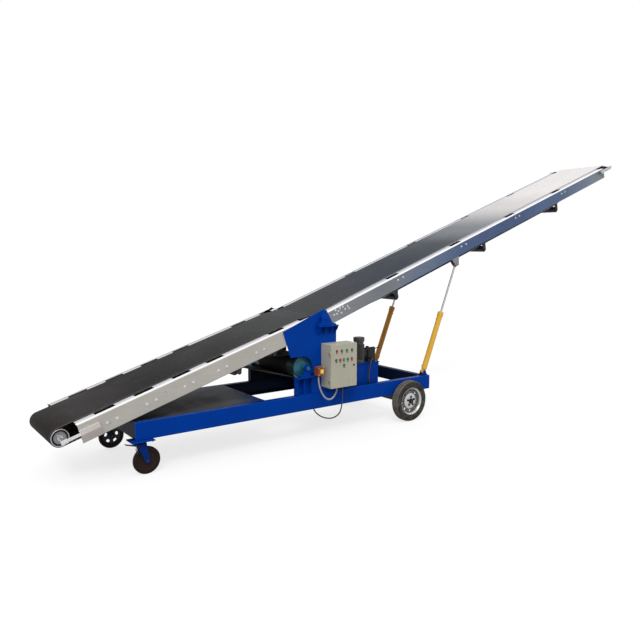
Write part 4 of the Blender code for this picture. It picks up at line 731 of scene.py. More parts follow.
# The far tower's inner colour is a near-black painted shadow.
FAR_TOWER = sprayed("Far tower shade blue", (0, 63, 162), (0, 57, 150), (20, 60, 120), 0.1, 0.34, 0.0, 0.0, 0.2,
                    (0.5585, (8, 10, 16)), 0.04)
FAR_BLUE = sprayed("Far rail shade blue", (0, 61, 160), (0, 54, 146), (30, 84, 160), 0.18, 0.34, 0.0, 0.0, 0.2,
                   (0.5755, (8, 22, 46)), 0.04)
# Painted shade: the far caster's fork is a darker copy of the fork blue.
FORK_SHADE = sprayed("Far fork shade blue", (12, 22, 44), (8, 14, 30), (60, 70, 90), 0.25, 0.4, specular=0.1)
TANK_BLUE = sprayed("Tank blue", (0, 56, 150), (0, 44, 124), (40, 84, 150), 0.3, 0.34, chips=0.2,
                    specular=0.05)
FORK_BLUE = sprayed("Fork blue", (4, 50, 130), (2, 34, 92), (60, 90, 140), 0.25, 0.36, chips=0.6,
                    specular=0.06)
# Painted shade: a dark navy for the blue frame's front and middle cross members and the far pivot block.
SHADE_NAVY = sprayed("Cross member shade navy", (17, 25, 46), (10, 16, 32), (40, 48, 70), 0.25, 0.42, chips=0.2,
               specular=0.03)
YELLOW = sprayed("Barrel yellow", (236, 186, 66), (222, 166, 50), (210, 190, 140), 0.3, 0.38, chips=0.3)
# Amber is a painted-shade copy of the barrel yellow on the far barrel, and the own colour of both rod eyes.
AMBER = sprayed("Far barrel shade and rod eye amber", (196, 134, 44), (164, 104, 32), (180, 150, 110), 0.3, 0.4, chips=0.3)
CREAM = sprayed("Cabinet cream", (184, 181, 163), (172, 170, 152), (205, 206, 190), 0.4, 0.42, chips=0.15)
# The tan dust colour paints the box's lit top on its upward faces, as well as its dust.
ORANGE = sprayed("Terminal box orange", (152, 76, 24), (124, 58, 16), (214, 180, 130), 0.5, 0.4, chips=0.2)
AMBER_LENS = sprayed("Terminal box face", (255, 222, 96), (250, 206, 70), (250, 230, 160), 0.2, 0.3, coat=0.4,
                     chips=0)
GREEN = sprayed("Drum green", (30, 60, 56), (20, 48, 46), (70, 84, 80), 0.3, 0.4, coat=0.1)
LAGGING = sprayed("Drum lagging", (46, 42, 43), (36, 32, 35), (60, 54, 50), 0.2, 0.7, specular=0.1)
TEAL = sprayed("Drum end teal", (36, 104, 126), (30, 88, 112), (90, 130, 140), 0.3, 0.34, coat=0.2, chips=0.2)
MOTOR_GREY = sprayed("Motor grey", (84, 82, 80), (60, 58, 57), (130, 126, 118), 0.4, 0.45, 0.2)
BLACK = sprayed("Black fittings", (24, 24, 26), (14, 14, 16), (80, 78, 76), 0.3, 0.45)
# Painted shadow: the near black of the boxes set in the bed's slots.
SLOT_SHADOW = sprayed("Slot shadow", (7, 7, 8), (4, 4, 5), (12, 12, 12), 0.1, 0.9, chips=0.0, specular=0.02)
BRAKE = sprayed("Brake grey-green", (66, 76, 72), (46, 54, 52), (130, 136, 128), 0.4, 0.4, 0.3)
# The near-white top colours of the tail sheet and the cover are painted highlights.
SHEET = rolled("Tail side sheet", (190, 186, 180), (172, 168, 160), (0.12, 1.0, 1.6), 0.42, 0.25,
               (250, 250, 250))
BED = rolled("Bed sheet", (214, 214, 216), (190, 190, 194), (0.15, 1.6, 0.15), 0.4, 0.3)
STEEL = rolled("Bright steel", (196, 196, 198), (168, 168, 172), (1.0, 0.2, 1.0), 0.28, 0.85)
COVER = rolled("Cover steel", (176, 168, 164), (150, 142, 138), (0.3, 3.0, 3.0), 0.34, 0.6, (240, 238, 240))
BRIGHT = rolled("Take-up bar steel", (232, 230, 230), (204, 202, 202), (0.4, 1.0, 1.0), 0.3, 0.3)
DISC = rolled("Drum disc steel", (150, 150, 154), (112, 112, 116), (1.0, 0.4, 1.0), 0.3, 0.6)
GREY_STEEL = rolled("Silver-grey ears", (140, 144, 150), (112, 116, 124), (1.0, 1.0, 0.4), 0.4, 0.5)
CHROME = rolled("Rod chrome", (190, 184, 192), (164, 158, 168), (0.3, 0.3, 3.0), 0.24, 0.8)
ZINC = rolled("Zinc fasteners", (226, 226, 228), (196, 196, 200), (1.0, 1.0, 1.0), 0.3, 0.6)
ROLLER = rolled("Roller steel", (36, 36, 40), (22, 22, 26), (0.4, 3.0, 0.4), 0.5, 0.2)
RIM = rolled("Wheel silver", (206, 206, 204), (180, 180, 178), (1.0, 1.0, 1.0), 0.32, 0.4)
# Painted shade: the dark grey of the rim's deep well.
SHADED_RIM_WELL = rolled("Wheel well shade", (92, 92, 94), (60, 60, 62), (1.0, 1.0, 1.0), 0.45, 0.3)
HUB_BROWN = sprayed("Caster hub brown", (54, 34, 32), (36, 24, 24), (80, 66, 60), 0.3, 0.6, specular=0.1)
BOOM_SHEET = boom_sheet()
DECK = deck_paint()
BELT = belt_rubber()
TYRE = tyre_rubber("Tyre rubber", (52, 50, 46), (150, 140, 132))
CASTER_RUBBER = tyre_rubber("Caster rubber", (34, 29, 27), (46, 38, 34), 0.7)
CONDUIT = corrugated("Conduit grey", (150, 150, 155), (180, 180, 184))
HOSE = corrugated("Hose black", (26, 26, 28), (70, 68, 66), 0.42)
RED_CAP = sprayed("Red buttons", (196, 48, 50), (170, 36, 40), (200, 120, 110), 0.1, 0.3, coat=0.4, chips=0.0)
GREEN_CAP = sprayed("Green buttons", (30, 128, 84), (24, 104, 70), (120, 170, 140), 0.1, 0.3, coat=0.4,
                    chips=0.0)
GREY_CAP = sprayed("Grey buttons", (130, 134, 136), (110, 114, 116), (170, 170, 170), 0.1, 0.35, coat=0.3,
                   chips=0.0)

# Colour, paint and places, as shares of the door's width and of its height from the top
BUTTONS = (
    ("red", RED_CAP, [(0.22, 0.155), (0.35, 0.36), (0.80, 0.36)]),
    ("green", GREEN_CAP, [(0.41, 0.155), (0.605, 0.155), (0.805, 0.155), (0.20, 0.36), (0.64, 0.36),
                         (0.50, 0.49)]),
    ("grey", GREY_CAP, [(0.49, 0.36)]))


def smooth_route(route, steps=24):
    """A Catmull-Rom curve through a route's points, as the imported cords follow, with even spacing."""
    points = np.asarray(route, float) - np.array((*ORIGIN, 0))
    ends = np.concatenate((2 * points[:1] - points[1:2], points, 2 * points[-1:] - points[-2:-1]))
    a, b, c, d = (ends[i:len(ends) - 3 + i, None] for i in range(4))
    t = (np.arange(steps) / steps)[None, :, None]
    curve = 2 * b + (c - a) * t + (2 * a - 5 * b + 4 * c - d) * t ** 2 + (3 * b - a - 3 * c + d) * t ** 3
    curve = np.concatenate((0.5 * curve.reshape(-1, 3), points[-1:]))
    run = np.concatenate(([0], np.cumsum(np.linalg.norm(np.diff(curve, axis=0), axis=1))))
    even = np.linspace(0, run[-1], int(run[-1] / CORD_STEP))
    return np.stack([np.interp(even, run, curve[:, axis]) for axis in range(3)], 1), float(run[-1])


def make_cord(name, route, radius, paint, ripple):
    """A tube along its route; with ripple, its radius dips at each turn of its corrugation."""
    path, length = smooth_route(route)
    turns = np.arange(len(path)) * 2 * math.pi / 4
    shape = swept(path, radius * (1 - ripple * (0.5 - 0.5 * np.cos(turns))), 12)
    thing = piece(name, [shape], paint, "machine", (name.replace("_skin", ""),), np.eye(4), 60)


def make_cabinet_cords():
    x, y = CASE_GLAND
    cabinet_y = CABINET_GLAND_Y
    case_low = CABINET_Z[0] - GLAND_LENGTH - GAP
    box_low = TERMINAL_BOX[2][0] - GLAND_LENGTH - GAP
    make_cord("conduit_skin", [
        (x, y, box_low), (x, y, box_low - LEAD), (2.238, -0.664, 0.700), (2.262, -0.672, 0.610),
        (2.315, -0.680, 0.525), (2.382, -0.684, 0.492), (2.445, -0.680, 0.510), (2.495, -0.667, 0.560),
        (2.51, cabinet_y, case_low - LEAD), (2.51, cabinet_y, case_low)],
        0.011, CONDUIT, 0.14)
    inlet_x = CROSS_STARTS["pack"] - GLAND_LENGTH - GAP
    make_cord("power_cable_skin", [
        (2.60, cabinet_y, case_low), (2.60, cabinet_y, case_low - LEAD), (2.605, -0.655, 0.50),
        (2.608, -0.640, 0.38), (2.590, -0.610, 0.27), (2.520, -0.560, 0.212), (2.420, -0.505, 0.225),
        (2.335, -0.462, 0.295), (2.310, -0.440, 0.385), (2.350, -0.430, 0.445), (2.470, -0.435, 0.462),
        (inlet_x - LEAD, -0.44, PORT_Z), (inlet_x, -0.44, PORT_Z)],
        0.008, HOSE, 0.0)


def make_hoses():
    port_x = CROSS_STARTS["rear"] - GLAND_LENGTH - GAP
    low = VALVE_PORT_Z
    x, y = VALVE_X[0] + 0.03, VALVE_Y[0] - 0.0143
    make_cord("hose_near_skin", [
        (x, y, low), (x, y - LEAD, low), (3.230, -0.484, 0.862), (3.200, -0.494, 0.810),
        (3.180, -0.488, 0.700), (3.190, -0.484, 0.560), (3.260, -0.484, 0.460), (3.420, -0.486, 0.418),
        (3.700, -0.484, 0.405), (3.950, -0.455, 0.425), (port_x - LEAD, -0.40, PORT_Z),
        (port_x, -0.40, PORT_Z)],
        0.009, HOSE, 0.0)
    x, y = VALVE_X[1] - 0.03, VALVE_Y[1] + 0.0143
    make_cord("hose_far_skin", [
        (x, y, low), (x, y + LEAD, low), (3.325, -0.200, 0.882), (3.360, -0.130, 0.870),
        (3.430, -0.070, 0.800), (3.480, 0.000, 0.650), (3.560, 0.080, 0.500), (3.700, 0.200, 0.440),
        (3.900, 0.330, 0.430), (port_x - LEAD, 0.40, PORT_Z), (port_x, 0.40, PORT_Z)],
        0.009, HOSE, 0.0)


def make_camera():
    right, forward = np.array(CAMERA_RIGHT), np.array(CAMERA_FORWARD)
    up = np.cross(right, forward)
    lens = bpy.data.cameras.new("Camera")
    lens.lens = CAMERA_LENS
    lens.sensor_width = 36
    camera = linked("Camera", lens)
    matrix = np.eye(4)
    matrix[:3, 0] = right * math.cos(CAMERA_ROLL) + up * math.sin(CAMERA_ROLL)
    matrix[:3, 1] = up * math.cos(CAMERA_ROLL) - right * math.sin(CAMERA_ROLL)
    matrix[:3, 2] = -forward
    matrix[:3, 3] = (CAMERA[0] - ORIGIN[0], CAMERA[1] - ORIGIN[1], CAMERA[2])
    camera.matrix_world = Matrix(matrix.tolist())
    bpy.context.scene.camera = camera


def belt_wheels():
    """(x, z, radius, turn) of each wheel under the belt's middle; a radius of 0 is a bend without a wheel."""
    boom_top = BOOM_BED + BELT_OFFSET
    snub_radius = SNUB_RADIUS + BELT_OFFSET
    return [
        (*world_of(-0.004, boom_top, BOOM_SLOPE), 0, 1),
        (*world_of(-0.255, TAIL_BED + BELT_OFFSET, TAIL_SLOPE), 0, 1),
        (*world_of(*TAIL_DRUM, TAIL_SLOPE), TAIL_DRUM_RADIUS + BELT_OFFSET, 1),
        (*world_of(*SNUB_FRONT, TAIL_SLOPE), snub_radius, -1),
        (*DRUM, DRUM_RADIUS + BELT_OFFSET, 1),
        (*SNUB_REAR, snub_radius, -1),
        (*GUIDE, GUIDE_RADIUS + BELT_OFFSET, -1),
        (2.385, 1.322, 0, 1),
        (*world_of(*RETURN_START, BOOM_SLOPE), 0, 1),
        (*world_of(IDLERS["return_idler_1"], RETURN_W, BOOM_SLOPE), 0, 1),
        (*world_of(IDLERS["return_idler_3"], RETURN_W, BOOM_SLOPE), 0, 1),
        (*world_of(*HEAD_DRUM, BOOM_SLOPE), HEAD_DRUM_RADIUS + BELT_OFFSET, 1),
        (*world_of(0.004, boom_top, BOOM_SLOPE), 0, 1)]


def belt_route(wheels, arc_step=math.radians(6)):
    """Points along the belt's middle: straight between wheels, and round each on its turning side."""
    headings = []
    for (x, z, radius, turn), (x2, z2, radius2, turn2) in zip(wheels, wheels[1:]):
        lean = math.asin((turn2 * radius2 - turn * radius) / math.hypot(x2 - x, z2 - z))
        headings.append(math.atan2(z2 - z, x2 - x) - lean)
    points = []
    for i, (x, z, radius, turn) in enumerate(wheels):
        if radius == 0:
            points.append((x, z))
            continue
        sweep = (headings[i] - headings[i - 1]) * turn % (2 * math.pi)
        steps = max(1, math.ceil(sweep / arc_step))
        corner = turn * radius / math.cos(sweep / steps / 2)
        heading = headings[i - 1] + turn * sweep * (np.arange(steps) + 0.5) / steps
        points += list(zip(x + corner * np.sin(heading), z - corner * np.cos(heading)))
    return np.array(points)


def filled_in(route, spacing=0.05, nearest=0.012):
    """A closed route with points added along its straights, none of them close to one that is there."""
    closed = np.concatenate((route, route[:1]))
    run = np.concatenate(([0], np.cumsum(np.linalg.norm(np.diff(closed, axis=0), axis=1))))
    extra = np.arange(0, run[-1], spacing)
    extra = extra[np.abs(extra[:, None] - run).min(1) > nearest]
    stops = np.unique(np.concatenate((run[:-1], extra)))
    return np.stack([np.interp(stops, run, closed[:, axis]) for axis in range(2)], 1)


def make_belt():
    """One endless belt: its rounded section is carried along the whole route and closed on itself."""
    line = filled_in(belt_route(belt_wheels()))
    normal = mitre(line)
    half = BELT_THICKNESS / 2
    section = rectangle((-BELT_HALF, BELT_HALF), (-half, half), 0.0045, 3)
    rows = np.empty((len(line), len(section), 3))
    rows[..., 0] = line[:, :1] + normal[:, :1] * section[:, 1]
    rows[..., 1] = section[:, 0]
    rows[..., 2] = line[:, 1:] + normal[:, 1:] * section[:, 1]
    belt = piece("belt", [loft(rows, ring=True)], BELT, None, ("belt_lower", "belt_upper"))
    belt.modifiers.clear()
    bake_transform(belt)


def channel_outline(face, low, high, wall, top_flange, low_flange, radius):
    """Section of a side channel: its web at face, and both flanges turned towards the middle."""
    inward = -math.copysign(1, face)
    path = [(face + inward * top_flange, high), (face, high), (face, low), (face + inward * low_flange, low)]
    return folded(path, wall * inward, radius)


def boom_channel(sign):
    """The boom's side channel, its lower end cut back for the swing, and the doubler inside its web."""
    outline = channel_outline(sign * BOOM_FACE, SECTION_LOW, BOOM_TOP, SIDE_WALL, 0.06, 0.084, 0.008)
    rows = spread(np.stack((outline, outline)), BOOM_PLATES, "X")
    rows[0, :, 0] += np.maximum(0, (-0.0685 - outline[:, 1]) * 1.176)
    web = BOOM_FACE - SIDE_WALL
    heel = [(-0.0575, 0.023), (0.24, 0.023), (0.24, -0.133), (0.0185, -0.133), (-0.0575, -0.068)]
    return [loft(rows), pressed(heel, (sign * (web + 0.001), sign * (web - 0.0065)), "Y", 0.0008)]


def lift_ears(sign):
    """The two ears under the boom that hold a rod's eye."""
    u, w = LIFT_EYE
    top = SECTION_LOW + 0.003
    ear = rounded([(u - 0.085, top), (u - 0.030, w - 0.032), (u + 0.026, w - 0.032), (u + 0.065, top)],
                  [0.001, 0.018, 0.018, 0.001])
    ends = [(sign * (LIFT_Y + edge * 0.025), sign * (LIFT_Y + edge * 0.035)) for edge in (-1, 1)]
    return [pressed(ear, pair, "Y", 0.0012) for pair in ends]


def make_sides():
    for side, sign in SIDES.items():
        outline = channel_outline(sign * TAIL_FACE, SECTION_LOW, TAIL_TOP, SIDE_WALL, 0.06, 0.03, 0.009)
        piece(f"tail_channel_{side}", [extruded(outline, TAIL_PLATES, "X")], SHEET, "machine",
              (f"tail_side_{side}",), TAIL)
        piece(f"boom_channel_{side}", boom_channel(sign), BOOM_SHEET, "boom",
              (f"boom_side_{side}",), BOOM)
        piece(f"lift_ears_{side}", lift_ears(sign), GREY_STEEL, "boom", (), BOOM)


def section_u(x, w, slope):
    """Distance along a section of the point at machine x and height w over its line."""
    return ((x - PIVOT[0]) + w * math.sin(slope)) / math.cos(slope)


def make_side_bolts():
    """Pairs of bolts along the sections, at the roller brackets, and the cluster by the tower."""
    for side, sign in SIDES.items():
        out = (0, sign, 0)
        places = [(section_u(x, -0.045, TAIL_SLOPE), sign * TAIL_FACE, -0.045) for x in TAIL_BOLTS]
        piece(f"tail_bolts_{side}", [bolts(places, out, 0.0115)], ZINC, "machine", (), TAIL)
        places = [(section_u(x, -0.025, BOOM_SLOPE), sign * BOOM_FACE, -0.025) for x in BOOM_BOLTS]
        places += [(u, sign * BOOM_FACE, w) for u, w in BOLT_CLUSTER]
        piece(f"boom_bolts_{side}", [bolts(places, out, 0.0105)], ZINC, "boom", (), BOOM)


def repaint(node, paint):
    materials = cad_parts[node].data.materials
    materials.clear()
    materials.append(paint)


def make_beds():
    """Slots' pockets, black boxes that paint the shadow inside them, and thin lips; on the boom the far
    pockets sit lower.
    """
    rows = (("tail", TAIL_SLOTS, TAIL_BED, "machine", TAIL, 0),
            ("boom", BOOM_SLOTS, BOOM_BED, "boom", BOOM, -0.014))
    for name, slots, top, body, place, far_drop in rows:
        drops = {-1: 0, 1: far_drop}
        places = [(u, sign * SLOT_Y, drops[sign]) for u in slots for sign in (-1, 1)]
        pocket = block((-0.106, 0.106), (-0.0335, 0.0335), (top - 0.017, top + 0.0006), 0.0006)
        piece(f"{name}_slot_shadows", [repeated(pocket, places)], SLOT_SHADOW, body, (), place)
        outline = rectangle((-0.109, 0.109), (-0.0355, 0.0355), 0.004, 3)
        lip = shell(outline, 0.0025, (top - 0.001, top + 0.001, top + 0.001, top - 0.001), "Z")
        piece(f"{name}_slot_lips", [repeated(lip, places)], STEEL, body, (), place)
        repaint(f"{name}_bed", BED)


def make_take_up(side, sign):
    face = TAIL_FACE + GAP
    start = TAIL_PLATES[0]
    u, w = TAIL_DRUM
    cover = [(face, SECTION_LOW + 0.004), (face + 0.028, SECTION_LOW + 0.010), (face + 0.050, w - 0.022),
             (face + 0.050, w - 0.004), (face + 0.020, TAIL_TOP - 0.062), (face, TAIL_TOP - 0.056)]
    outline = rounded([(sign * y, z) for y, z in cover], [0.001, 0.006, 0.006, 0.006, 0.006, 0.001], 3)
    piece(f"take_up_cover_{side}", [pressed(outline, (start - 0.004, start + 0.198), "X", 0.0015)], COVER,
          "machine", (f"take_up_{side}",), TAIL)
    screw_y = sign * (face + 0.030)
    flat_y = (sign * (face + 0.022), sign * (face + 0.010))
    plate_y = (sign * (face + 0.008), sign * (face + 0.027))
    shapes = [
        block((u - 0.03, start + 0.05), flat_y, about(w, 0.016), 0.003),
        bolts([(u, flat_y[0], w)], (0, sign, 0), 0.013),
        block((u - 0.036, u + 0.030), plate_y, about(w, 0.021), 0.003, "Y"),
        bar((start - 0.09, screw_y, w), (start + 0.01, screw_y, w), 0.006, 16),
        bolts([(start - 0.0035, screw_y, w)], (-1, 0, 0), 0.011)]
    piece(f"take_up_bar_{side}", shapes, BRIGHT, "machine", (), TAIL)


def make_tail_end():
    for side, sign in SIDES.items():
        make_take_up(side, sign)
    u, w = TAIL_DRUM
    start = (u, 0, w)
    rim, end = TAIL_DRUM_RADIUS, TAIL_FACE + GAP + 0.026
    profile = mirrored([
        (0.0105, end), (0.012, end - 0.0015), (0.012, 0.412), (0.030, 0.412), (0.034, 0.3985),
        (rim - 0.010, 0.396), (rim - 0.008, 0.398), (rim - 0.008, 0.410), (rim - 0.006, 0.412),
        (rim - 0.002, 0.412), (rim, 0.410)])
    piece("tail_drum_skin", [turned(profile, start, (0, 1, 0), 72)], STEEL, "machine",
          ("tail_drum",), TAIL)
    # Painted shade: a thin dark ring laid in each drum end's recess.
    recess = [(0.036, 0.3975), (0.036, 0.3985), (0.0785, 0.3985), (0.0785, 0.3975)]
    disc = [(0.014, 0.399), (0.014, 0.408), (0.030, 0.408), (0.036, 0.4015), (0.052, 0.4015), (0.056, 0.407),
            (0.061, 0.407), (0.063, 0.399)]
    rows = (("recess", recess, LAGGING, "dark_steel"), ("disc", disc, DISC, "bright_steel"))
    for side, sign in SIDES.items():
        for name, profile, paint, slot in rows:
            shape = turned(profile, start, (0, sign, 0), 64, ring=True)
            piece(f"tail_drum_{name}_{side}", [shape], paint, "machine", (), TAIL)


def make_head_end():
    u, w = HEAD_DRUM
    face = BOOM_FACE + GAP
    for side, sign in SIDES.items():
        y = sign * (face + 0.025)
        tongue = rectangle((6.56, u + 0.02), about(w, 0.018), 0.010)
        shapes = [
            tube((6.29, y, w), (6.60, y, w), 0.025, 0.004),
            bar((6.30, y, w), (6.585, y, w), 0.012, 24),
            block((6.32, 6.42), (sign * face, y), about(w, 0.02), 0.003, "X"),
            pressed(tongue, (sign * (BOOM_FACE - 0.001), sign * (BOOM_FACE + 0.011)), "Y", 0.0015)]
        piece(f"head_slide_skin_{side}", shapes, STEEL, "boom", (f"head_slide_{side}",), BOOM)
    end = BOOM_FACE + 0.012
    profile = mirrored([
        (0.0105, end), (0.012, end - 0.0015), (0.012, 0.456), (0.024, 0.455), (0.026, 0.450), (0.026, 0.412),
        (0.0285, 0.412), (HEAD_DRUM_RADIUS, 0.4105)])
    piece("head_drum_skin", [turned(profile, (u, 0, w), (0, 1, 0), 48)], ROLLER, "boom",
          ("head_drum",), BOOM)


def roller(u, w, radius, reach, stub_end):
    """A roller with recessed ends, on stubs that run out to stub_end."""
    profile = mirrored([
        (0.0105, stub_end), (0.012, stub_end - 0.0015), (0.012, reach), (radius * 0.55, reach),
        (radius * 0.6, reach - 0.006), (radius - 0.004, reach - 0.006), (radius - 0.002, reach),
        (radius, reach - 0.002)])
    return turned(profile, (u, 0, w), (0, 1, 0), 48)


def hanger(u, w, y, sign):
    """A roller's hanger plate at y, its foot under the section's flange and two bolts."""
    top = SECTION_LOW - GAP
    centre = (u, min(w, top - 0.02))
    outline = path_of([(u - 0.044, top)], arc(centre, 0.026, 185, 355, 10), [(u + 0.044, top)])
    places = [(u + along, sign * (y + 0.013), top - 0.006) for along in (-0.03, 0.03)]
    return [
        pressed(outline, (sign * (y - 0.0035), sign * (y + 0.0035)), "Y", 0.001),
        block(about(u, 0.046), (sign * (y - 0.005), sign * (y + 0.022)), (top - 0.006, top), 0.001),
        bolts(places, (0, 0, -1), 0.006)]


def section_place(point, slope):
    """(u, w) in a section's frame of an (x, z) place of the machine."""
    x, z = point[0] - PIVOT[0], point[1] - PIVOT[1]
    return x * math.cos(slope) + z * math.sin(slope), z * math.cos(slope) - x * math.sin(slope)


def make_rollers():
    """Return idlers and snub rollers, on stubs in hanger plates, and the guide roller."""
    boom_hanger = BOOM_FACE - 0.084 + 0.006
    tail_hanger = TAIL_FACE - 0.03 + 0.004
    rear = section_place(SNUB_REAR, TAIL_SLOPE)
    rows = [(name, (u, IDLER_W), IDLER_RADIUS, IDLER_HALF, boom_hanger, "boom", BOOM)
            for name, u in IDLERS.items()]
    rows += [("snub_front", SNUB_FRONT, SNUB_RADIUS, 0.42, tail_hanger, "machine", TAIL),
             ("snub_rear", rear, SNUB_RADIUS, 0.42, tail_hanger, "machine", TAIL)]
    for name, (u, w), radius, half, y, body, place in rows:
        shapes = [roller(u, w, radius, half, y + 0.006)]
        for sign in SIDES.values():
            shapes += hanger(u, w, y, sign)
        piece(f"{name}_skin", shapes, ROLLER, body, (name,), place)
    guide = roller(*GUIDE, GUIDE_RADIUS, 0.42, TOWER_INNER - 0.001)
    piece("guide_roller_skin", [guide], ROLLER, "machine", ("guide_roller",))


def make_rails():
    """Chassis rails, each with its caster's plate, race, kingpin and bolts."""
    x, caster_y = CASTER_PLACE
    low = RAIL_LOW - 0.010
    race = [(0.030, -0.010), (0.042, -0.0095), (0.042, -0.006), (0.038, -0.005), (0.042, -0.004),
            (0.042, 0.002)]
    for side, sign in SIDES.items():
        y = sign * caster_y
        outline = channel_outline(sign * HALF_WIDTH, RAIL_LOW, RAIL_TOP, RAIL_WALL, RAIL_FLANGE, RAIL_FLANGE,
                                  0.011)
        shapes = [
            extruded(outline, (0, CHASSIS_LENGTH), "X"),
            block(about(x, 0.1225), about(y, 0.0935), (low, RAIL_LOW + 0.001), 0.004),
            turned(race, (x, y, low), (0, 0, 1), 40),
            bar((x, y, low - 0.038), (x, y, low), 0.012, 24),
            bolts([(x + dx, y + dy, low) for dx in (-0.10, 0.10) for dy in (-0.07, 0.07)], (0, 0, -1), 0.009)]
        # The far rail takes the far blue, with its own painted-shade limit.
        paint = BLUE if side == "near" else FAR_BLUE
        piece(f"rail_skin_{side}", shapes, paint, "machine", (f"rail_{side}",))


def make_cross_members():
    """Cross members between the rails, with the pack's tray and the ports for cable and hoses."""
    high = RAIL_TOP - RAIL_WALL - GAP
    low = RAIL_LOW + RAIL_WALL + GAP
    reach = HALF_WIDTH - RAIL_WALL - GAP
    nut = [(0.018, 0), (0.020, 0.002), (0.020, 0.008)]
    for place, start in CROSS_STARTS.items():
        end = start + CROSS_WIDTH
        outline = folded([(end, low), (start, low), (start, high), (end, high)], -RAIL_WALL, 0.009)
        shapes = [extruded(outline, (-reach, reach), "Y")]
        if place == "pack":
            shapes.append(block((start + 0.01, TANK_X[1] + 0.03), (-reach, reach), (low, low + 0.008)))
        for y in PORTS.get(place, ()):
            shapes.append(bar((start - GLAND_LENGTH, y, PORT_Z), (start + 0.002, y, PORT_Z), 0.014, 24))
            shapes.append(turned(nut, (start - 0.008, y, PORT_Z), (1, 0, 0), 6))
        # The front and middle members take the painted-shade navy.
        paint = SHADE_NAVY if place in ("front", "middle") else BLUE
        piece(f"cross_skin_{place}", shapes, paint, "machine", (f"cross_{place}",))


def make_chassis():
    make_rails()
    make_cross_members()
    inner = HALF_WIDTH - RAIL_FLANGE - GAP
    front = CROSS_STARTS["front"] + CROSS_WIDTH + 0.001
    shapes = [block((CROSS_STARTS["front"], DECK_END), (-inner, inner), (RAIL_TOP - RAIL_WALL, RAIL_TOP))]
    for sign in SIDES.values():
        shapes.append(block((front, CROSS_STARTS["middle"] - 0.001), (sign * (inner - 0.004), sign * inner),
                            (RAIL_TOP - 0.03, RAIL_TOP - 0.004), 0.0012, "X"))
    piece("deck_skin", shapes, DECK, "machine", ("deck_plate",))
    repaint("axle", BLACK)


def tower_plate(side, sign):
    """The tower's plate with its ledge and gussets, and the weld beads along them."""
    start, edge = sign * (TOWER_FACE - 0.002), sign * (LEDGE_EDGE - 0.01)
    corner = (TOWER_FOOT_LEFT - CUTOUT_CORNER, CUTOUT_TOP - CUTOUT_CORNER)
    ledge_low = LEDGE_TOP - LEDGE_WALL
    outline = path_of(
        [(TOWER_RIGHT, RAIL_TOP + GAP), (TOWER_RIGHT, 1.395), (2.524, 1.403)], TOWER_CROWNS[side],
        [(1.800, 1.345), (1.804, 1.325), (1.904, CUTOUT_TOP)], arc(corner, CUTOUT_CORNER, 90, 0, 12),
        [(TOWER_FOOT_LEFT, RAIL_TOP + GAP)])
    shapes = [
        pressed(rounded(outline, 0.006, 3), (sign * TOWER_INNER, sign * TOWER_FACE), "Y", 0.0012),
        block(LEDGE_X, (start, sign * LEDGE_EDGE), (ledge_low, LEDGE_TOP))]
    beads = [bead((LEDGE_X[0], sign * TOWER_FACE, ledge_low), (LEDGE_X[1], sign * TOWER_FACE, ledge_low))]
    gusset = [(start, LEDGE_TOP - 0.125), (start, LEDGE_TOP - 0.003), (edge, LEDGE_TOP - 0.003),
              (edge, LEDGE_TOP - 0.03)]
    for x in (2.29, PIVOT[0], PIVOT[0] + 0.10, 2.552):
        shapes.append(pressed(gusset, about(x, 0.004), "X"))
        beads.append(bead((x - 0.005, sign * TOWER_FACE, LEDGE_TOP - 0.12),
                          (x - 0.005, sign * TOWER_FACE, LEDGE_TOP - 0.014)))
    return shapes, beads


def pedestal(sign):
    """The tower's foot on the rail and the drive drum's pedestal beside it, with the beads at its ribs."""
    inner, low, top = HALF_WIDTH - RAIL_FLANGE, RAIL_TOP + GAP, PEDESTAL_TOP
    inner_y, outer_y, shelf_y = sign * inner, sign * HALF_WIDTH, sign * SHELF_EDGE
    left, right, wall = PEDESTAL_RIBS[0], TOWER_FOOT_LEFT + 0.010, PEDESTAL_WALL
    shapes = [
        block((TOWER_FOOT_LEFT, TOWER_RIGHT), (sign * (inner + 0.002), sign * (TOWER_INNER + 0.002)),
              (low, low + wall), 0.001),
        block((left, right), (inner_y, sign * (inner + wall)), (low, top), 0.001),
        block((left, right), (inner_y, outer_y), (low, low + wall), 0.001),
        block((left - 0.010, right), (inner_y, shelf_y), (top - wall, top), 0.001)]
    rib = [(inner_y, low), (outer_y, low), (outer_y, top - 0.03), (shelf_y, top - 0.006),
           (inner_y, top - 0.006)]
    beads = []
    for x in PEDESTAL_RIBS:
        shapes.append(pressed(rib, (x, x + wall), "X"))
        beads.append(bead((x + 0.009, sign * (inner + 0.01), low + 0.009),
                          (x + 0.009, sign * (HALF_WIDTH - 0.005), low + 0.009)))
    return shapes, beads


